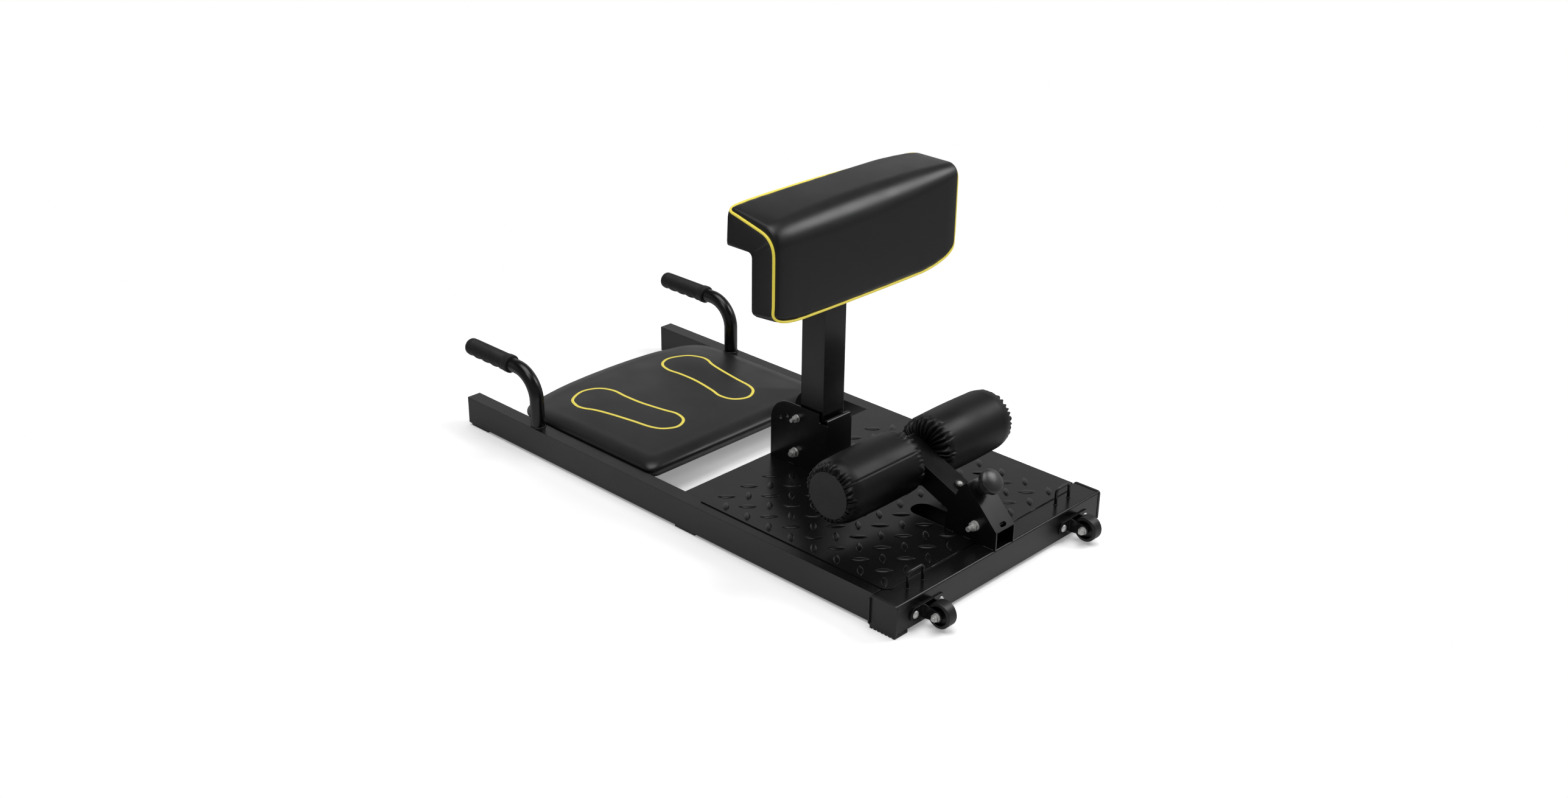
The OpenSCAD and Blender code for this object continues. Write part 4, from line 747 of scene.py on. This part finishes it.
# The ribs' and the hollows' pitch or number, height, level at the grip's radius, and how far
# they stay from its two ends; the hollows fade in and out over FINGER_FADE
RIB_PITCH, RIB_H, RIB_LEVEL, RIB_FROM, RIB_TO = 3.8, 0.8, 0.75, 17, 18
FINGERS, FINGER_H, FINGER_LEVEL, FINGER_FROM, FINGER_TO, FINGER_FADE = 4, 3.0, 0.62, 8, 20, 6
# Sine of the angle below the axis at which the ribs end and the hollows begin, and its spread
BELOW_SINE, BELOW_W = 0.35, 0.12


def grip_skin(name, side):
    """Rubber grip: radius over (way along, angle), with a round end and a plain collar in front.

    Close ribs of |sin(pi way / pitch)|^0.7 run over the top and sides, and finger hollows with
    rounded ridges between them, of |cos|^0.8, lie below."""
    way = np.concatenate([np.linspace(0, GRIP_ROUND, 14)[:-1],
                          np.linspace(GRIP_ROUND, GRIP_L, GRIP_WAY)])
    angle = np.linspace(0, 2 * np.pi, GRIP_TURN, endpoint=False)
    ball = np.sqrt(np.maximum(GRIP_ROUND ** 2 - (GRIP_ROUND - way) ** 2, 0))
    base = np.where(way < GRIP_ROUND, GRIP_R - GRIP_ROUND + ball, GRIP_R)
    collar = (COLLAR_H * fading(GRIP_L - COLLAR_L - way, COLLAR_EDGE)
              - COLLAR_IN * ramp(way - GRIP_L + COLLAR_ROUND, COLLAR_ROUND) ** 2)
    below = fading(np.sin(angle) + BELOW_SINE, BELOW_W)
    ribbed = (1 - below)[None] * (((way > RIB_FROM) & (way < GRIP_L - RIB_TO))[:, None])
    rib = np.abs(np.sin(np.pi * way / RIB_PITCH)) ** 0.7
    ribs = RIB_H * (rib - RIB_LEVEL)[:, None] * ribbed
    held = ((way > FINGER_FROM) & (way < GRIP_L - FINGER_TO))[:, None]
    finger_w = (GRIP_L - FINGER_FROM - FINGER_TO) / FINGERS
    finger = np.abs(np.cos(np.pi * (way - FINGER_FROM) / finger_w)) ** 0.8
    hollow = FINGER_H * (finger - FINGER_LEVEL)[:, None]
    fade = (ramp(way - FINGER_FROM, FINGER_FADE)[:, None]
            * ramp(GRIP_L - RIB_TO - way, FINGER_FADE)[:, None])
    radius = (base + collar)[:, None] + ribs + hollow * below[None] ** 1.2 * held * fade
    points = np.stack([side * GRIP_X + radius * np.cos(angle),
                       (GRIP_END - way)[:, None] + 0 * radius,
                       GRIP_Z + radius * np.sin(angle)], axis=2)
    skin = surface(name, [(capped(points), False, True)], rubber, "frame")
    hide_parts(name.replace("_skin", ""))


for grip, grip_side in (("left_grip_skin", -1), ("right_grip_skin", 1)):
    grip_skin(grip, grip_side)


# Tread pattern

LUG_L, LUG_W, LUG_H = 36.0, 12.5, 1.9
LUG_SINK = 0.02
TREAD_PITCH_X, TREAD_PITCH_Y = 61.5, 57.5
TREAD_COLS, TREAD_ROWS = np.arange(-4, 8), np.arange(-2, 9)
# First lug of each set, and the way its lugs point
TREAD_SETS = ((-106.5, 97.5, math.radians(-45)), (-75.0, 127.0, math.radians(45)))
PLATE_TOP, PLATE_HALF, PLATE_Y = 2.0, 262, (62, 506)
SLOT_HALF, SLOT_END, BRACKET_HALF, BRACKET_Y = 42, 238, 54, 402


def lug_sheet(x, y, tilt):
    """Raised lens: half-width w/2 (1 - u^2), height h ((1 - u^2)(1 - v^4))^0.45."""
    u = np.sin(np.linspace(-np.pi / 2, np.pi / 2, 17))[:, None]
    v = np.sin(np.linspace(-np.pi / 2, np.pi / 2, 11))[None]
    along, across = LUG_L / 2 * u + 0 * v, LUG_W / 2 * (1 - u ** 2) * v
    rise = LUG_H * (np.maximum((1 - u ** 2) * (1 - v ** 4), 0)) ** 0.45
    c, s = math.cos(tilt), math.sin(tilt)
    return np.stack([x + c * along - s * across, y + s * along + c * across,
                     PLATE_TOP + rise - LUG_SINK], axis=2)


def tread_lugs():
    """Lens-shaped lugs in two crossed sets, each on its own grid, wherever the plate is clear."""
    sheets = []
    for x0, y0, tilt in TREAD_SETS:
        for x in x0 + TREAD_PITCH_X * TREAD_COLS:
            for y in y0 + TREAD_PITCH_Y * TREAD_ROWS:
                clear = abs(x) < PLATE_HALF and PLATE_Y[0] < y < PLATE_Y[1]
                slot = abs(x) < SLOT_HALF and y < SLOT_END
                bracket = abs(x) < BRACKET_HALF and y > BRACKET_Y
                if clear and not slot and not bracket:
                    sheets.append((lug_sheet(x, y, tilt), False, False))
    surface("tread_lugs", sheets, powder_coat, "frame")


tread_lugs()


# Welds

RIPPLE, BEAD_STEP, BEAD_SIDES = 2.6, 0.65, 8
# Beads lie this far above the beam, and above the plate
ON_BEAM, ON_PLATE = 0.4, 2.4
HANDLE_Y, HANDLE_FOOT_R = 1009, 15.4
LOOP_X, LOOP_Y, LOOP_LEG, LOOP_FOOT_R = 222, 30, 21, 3.4
HOOD_SIDE, POST_BRACKET_SIDE, POST_BRACKET_FRONT = 28.7, 36.6, 414.8
# Short beads that hold the plate to the beam: their middles, half-length and place
TACK_X, TACK_HALF, TACK_Y, TACK_Z = (222, 150, 90), 9, 46.2, 0.5


def len_of(path):
    """Length of a polyline."""
    return float(np.linalg.norm(np.diff(np.asarray(path, float), axis=0), axis=1).sum())


def bead(path, seed, size):
    """Weld bead: a tube along a path, about size mm in radius.

    The radius falls to 0.82 of that between ripples, varies at random by 15 percent, and tapers
    to a quarter at both ends over 1.1 times the size."""
    path = resampled(path, max(int(len_of(path) / BEAD_STEP), 8))
    t = np.linspace(0, len_of(path), len(path))
    chance = np.random.default_rng(seed).uniform(0.85, 1.15, len(path) // 4 + 2)
    radius = size * (0.82 + 0.18 * np.abs(np.cos(np.pi * t / RIPPLE))) * np.interp(
        np.arange(len(path)) / 4, np.arange(len(chance)), chance)
    radius = radius * np.minimum(1, 0.25 + np.minimum(t, t[-1] - t) / (1.5 * size))
    return tube(path, radius, (0, 0, 1), BEAD_SIDES)


def ring_path(x, y, z, r):
    """Circle about a vertical axis."""
    a = np.radians(np.linspace(0, 360, 49))
    return np.column_stack([x + r * np.cos(a), y + r * np.sin(a), np.full(49, z)])


def welds():
    """Beads at the foot of the handles, brackets and band loops, and along the plate's edge."""
    sheets = []
    for side in (-1, 1):
        sheets.append(bead(ring_path(side * GRIP_X, HANDLE_Y, 0.6, HANDLE_FOOT_R), 3 + side, 2.0))
        for y0, y1, z in ((4, 30, ON_BEAM), (58, 76, ON_PLATE), (98, 118, ON_PLATE)):
            x = side * HOOD_SIDE
            sheets.append(bead([(x, y0, z), (x, y1, z)], y0, 1.5))
        for y0, y1 in ((420, 446), (500, 520)):
            x = side * POST_BRACKET_SIDE
            sheets.append(bead([(x, y0, ON_PLATE), (x, y1, ON_PLATE)], y0, 1.6))
        for leg in (-LOOP_LEG, LOOP_LEG):
            sheets.append(bead(ring_path(side * LOOP_X + leg, LOOP_Y, ON_BEAM, LOOP_FOOT_R),
                               leg + LOOP_Y, 1.1))
        for x in TACK_X:
            sheets.append(bead([(side * x - TACK_HALF, TACK_Y, TACK_Z),
                                (side * x + TACK_HALF, TACK_Y, TACK_Z)], x, 1.2))
    for x0, x1, seed in ((-30, -8, 77), (8, 30, 78)):
        sheets.append(bead([(x0, POST_BRACKET_FRONT, ON_PLATE), (x1, POST_BRACKET_FRONT, ON_PLATE)],
                           seed, 1.5))
    surface("weld_beads", sheets, powder_coat, "frame")


welds()


# Room: pale floor, white backdrop for what the camera sees, soft boxes above

# Half the floor's side in m
FLOOR_HALF = 14
# Distances in m from the middle, over which the shadowed floor turns to burnt-out white, and over
# which the floor that other rays meet leaves the lamps' light
WHITE_FROM, WHITE_TO, DIM_FROM, DIM_TO = 0.7, 1.3, 0.55, 1.3


def floor_finish():
    """White sweep. The camera sees it burnt out, with a soft shadow near the machine only; other
    rays see a matt white that falls off away from the lamps."""
    made = bpy.data.materials.new("pale_floor")
    made.use_nodes = True
    tree = made.node_tree
    tree.nodes.clear()
    place = node(tree, "ShaderNodeTexCoord").outputs["Object"]
    far = node(tree, "ShaderNodeVectorMath", {0: place}, operation="LENGTH").outputs["Value"]
    away = node(tree, "ShaderNodeMapRange", {"Value": far, "From Min": WHITE_FROM,
                                             "From Max": WHITE_TO},
                interpolation_type="SMOOTHSTEP").outputs[0]
    out_of_light = node(tree, "ShaderNodeMapRange", {"Value": far, "From Min": DIM_FROM,
                                                     "From Max": DIM_TO}).outputs[0]
    shade, glow, bounce = (
        node(tree, "ShaderNodeMapRange", {"Value": by, "To Min": near, "To Max": beyond}).outputs[0]
        for by, near, beyond in ((away, 1.15, 0.0), (away, 0.27, 1.0), (out_of_light, 0.88, 0.3)))
    shade, bounce = (
        node(tree, "ShaderNodeCombineColor", {k: grey for k in range(3)}).outputs[0]
        for grey in (shade, bounce))
    burnt = node(tree, "ShaderNodeEmission", {"Strength": glow}).outputs[0]
    veil = node(tree, "ShaderNodeBsdfDiffuse", {"Color": shade}).outputs[0]
    seen = node(tree, "ShaderNodeAddShader", {0: burnt, 1: veil}).outputs[0]
    lit = node(tree, "ShaderNodeBsdfDiffuse", {"Color": bounce}).outputs[0]
    rays = node(tree, "ShaderNodeLightPath").outputs
    both = node(tree, "ShaderNodeMixShader", {0: rays["Is Camera Ray"], 1: lit, 2: seen}).outputs[0]
    node(tree, "ShaderNodeOutputMaterial", {"Surface": both})
    return made


def studio():
    """World. The camera sees plain white. Other rays meet a wall up to a height of about 0.5,
    brighter to the rear right, and a bright ceiling overhead; height is the direction's z."""
    world = bpy.data.worlds.new("studio")
    world.use_nodes = True
    tree = world.node_tree
    tree.nodes.clear()
    rays = node(tree, "ShaderNodeLightPath").outputs
    seen = node(tree, "ShaderNodeMath", {0: rays["Is Camera Ray"], 1: rays["Is Transmission Ray"]},
                operation="MAXIMUM").outputs[0]
    direction = node(tree, "ShaderNodeTexCoord").outputs["Generated"]
    height = node(tree, "ShaderNodeSeparateXYZ", {0: direction}).outputs["Z"]
    rearward = node(tree, "ShaderNodeVectorMath", {0: direction, 1: (0.66, 0.62, 0)},
                    operation="DOT_PRODUCT").outputs["Value"]
    low_band, overhead, side = (
        node(tree, "ShaderNodeMapRange", {"Value": value, "From Min": start, "From Max": stop,
                                          "To Min": first, "To Max": last},
             interpolation_type="SMOOTHSTEP").outputs[0]
        for value, start, stop, first, last in (
            (height, 0.46, 0.60, 1.0, 0.1), (height, 0.88, 0.99, 0.0, 3.4),
            (rearward, -0.3, 0.6, 0.20, 0.52)))
    wall = node(tree, "ShaderNodeMath", {0: low_band, 1: side}, operation="MULTIPLY").outputs[0]
    ceiling = node(tree, "ShaderNodeMath", {0: wall, 1: overhead}, operation="ADD").outputs[0]
    strength = node(tree, "ShaderNodeMix", {0: seen, 2: ceiling, 3: 1.0},
                    data_type="FLOAT").outputs[0]
    sky = node(tree, "ShaderNodeBackground", {
        "Color": (1, 1, 1, 1), "Strength": strength}).outputs[0]
    node(tree, "ShaderNodeOutputWorld", {"Surface": sky})
    return world


def soft_box(name, place, aim, size, power):
    """Square lamp at place (m), turned to aim, with its side in m and its power in W."""
    lamp = bpy.data.lights.new(name, "AREA")
    lamp.shape, lamp.size, lamp.size_y, lamp.energy = "RECTANGLE", size, size, power
    made = bpy.data.objects.new(name, lamp)
    made.matrix_world = Matrix.Translation(Vector(place)) @ (
        Vector(aim) - Vector(place)).to_track_quat("-Z", "Y").to_matrix().to_4x4()
    bpy.context.scene.collection.objects.link(made)


floor_mesh = bpy.data.meshes.new("floor")
floor_mesh.from_pydata([(x * FLOOR_HALF, y * FLOOR_HALF, 0)
                        for x, y in ((-1, -1), (1, -1), (1, 1), (-1, 1))], [], [(0, 1, 2, 3)])
floor_mesh.materials.append(floor_finish())
floor = bpy.data.objects.new("floor", floor_mesh)
bpy.context.scene.collection.objects.link(floor)
bpy.context.scene.world = studio()
soft_box("main", place=(1.9, -1.5, 2.25), aim=(0, -0.2, 0.5), size=1.3, power=30)
soft_box("side", place=(-1.7, -0.3, 2.7), aim=(0, -0.2, 0.3), size=1.0, power=10)

bpy.context.scene.view_settings.view_transform = "Standard"
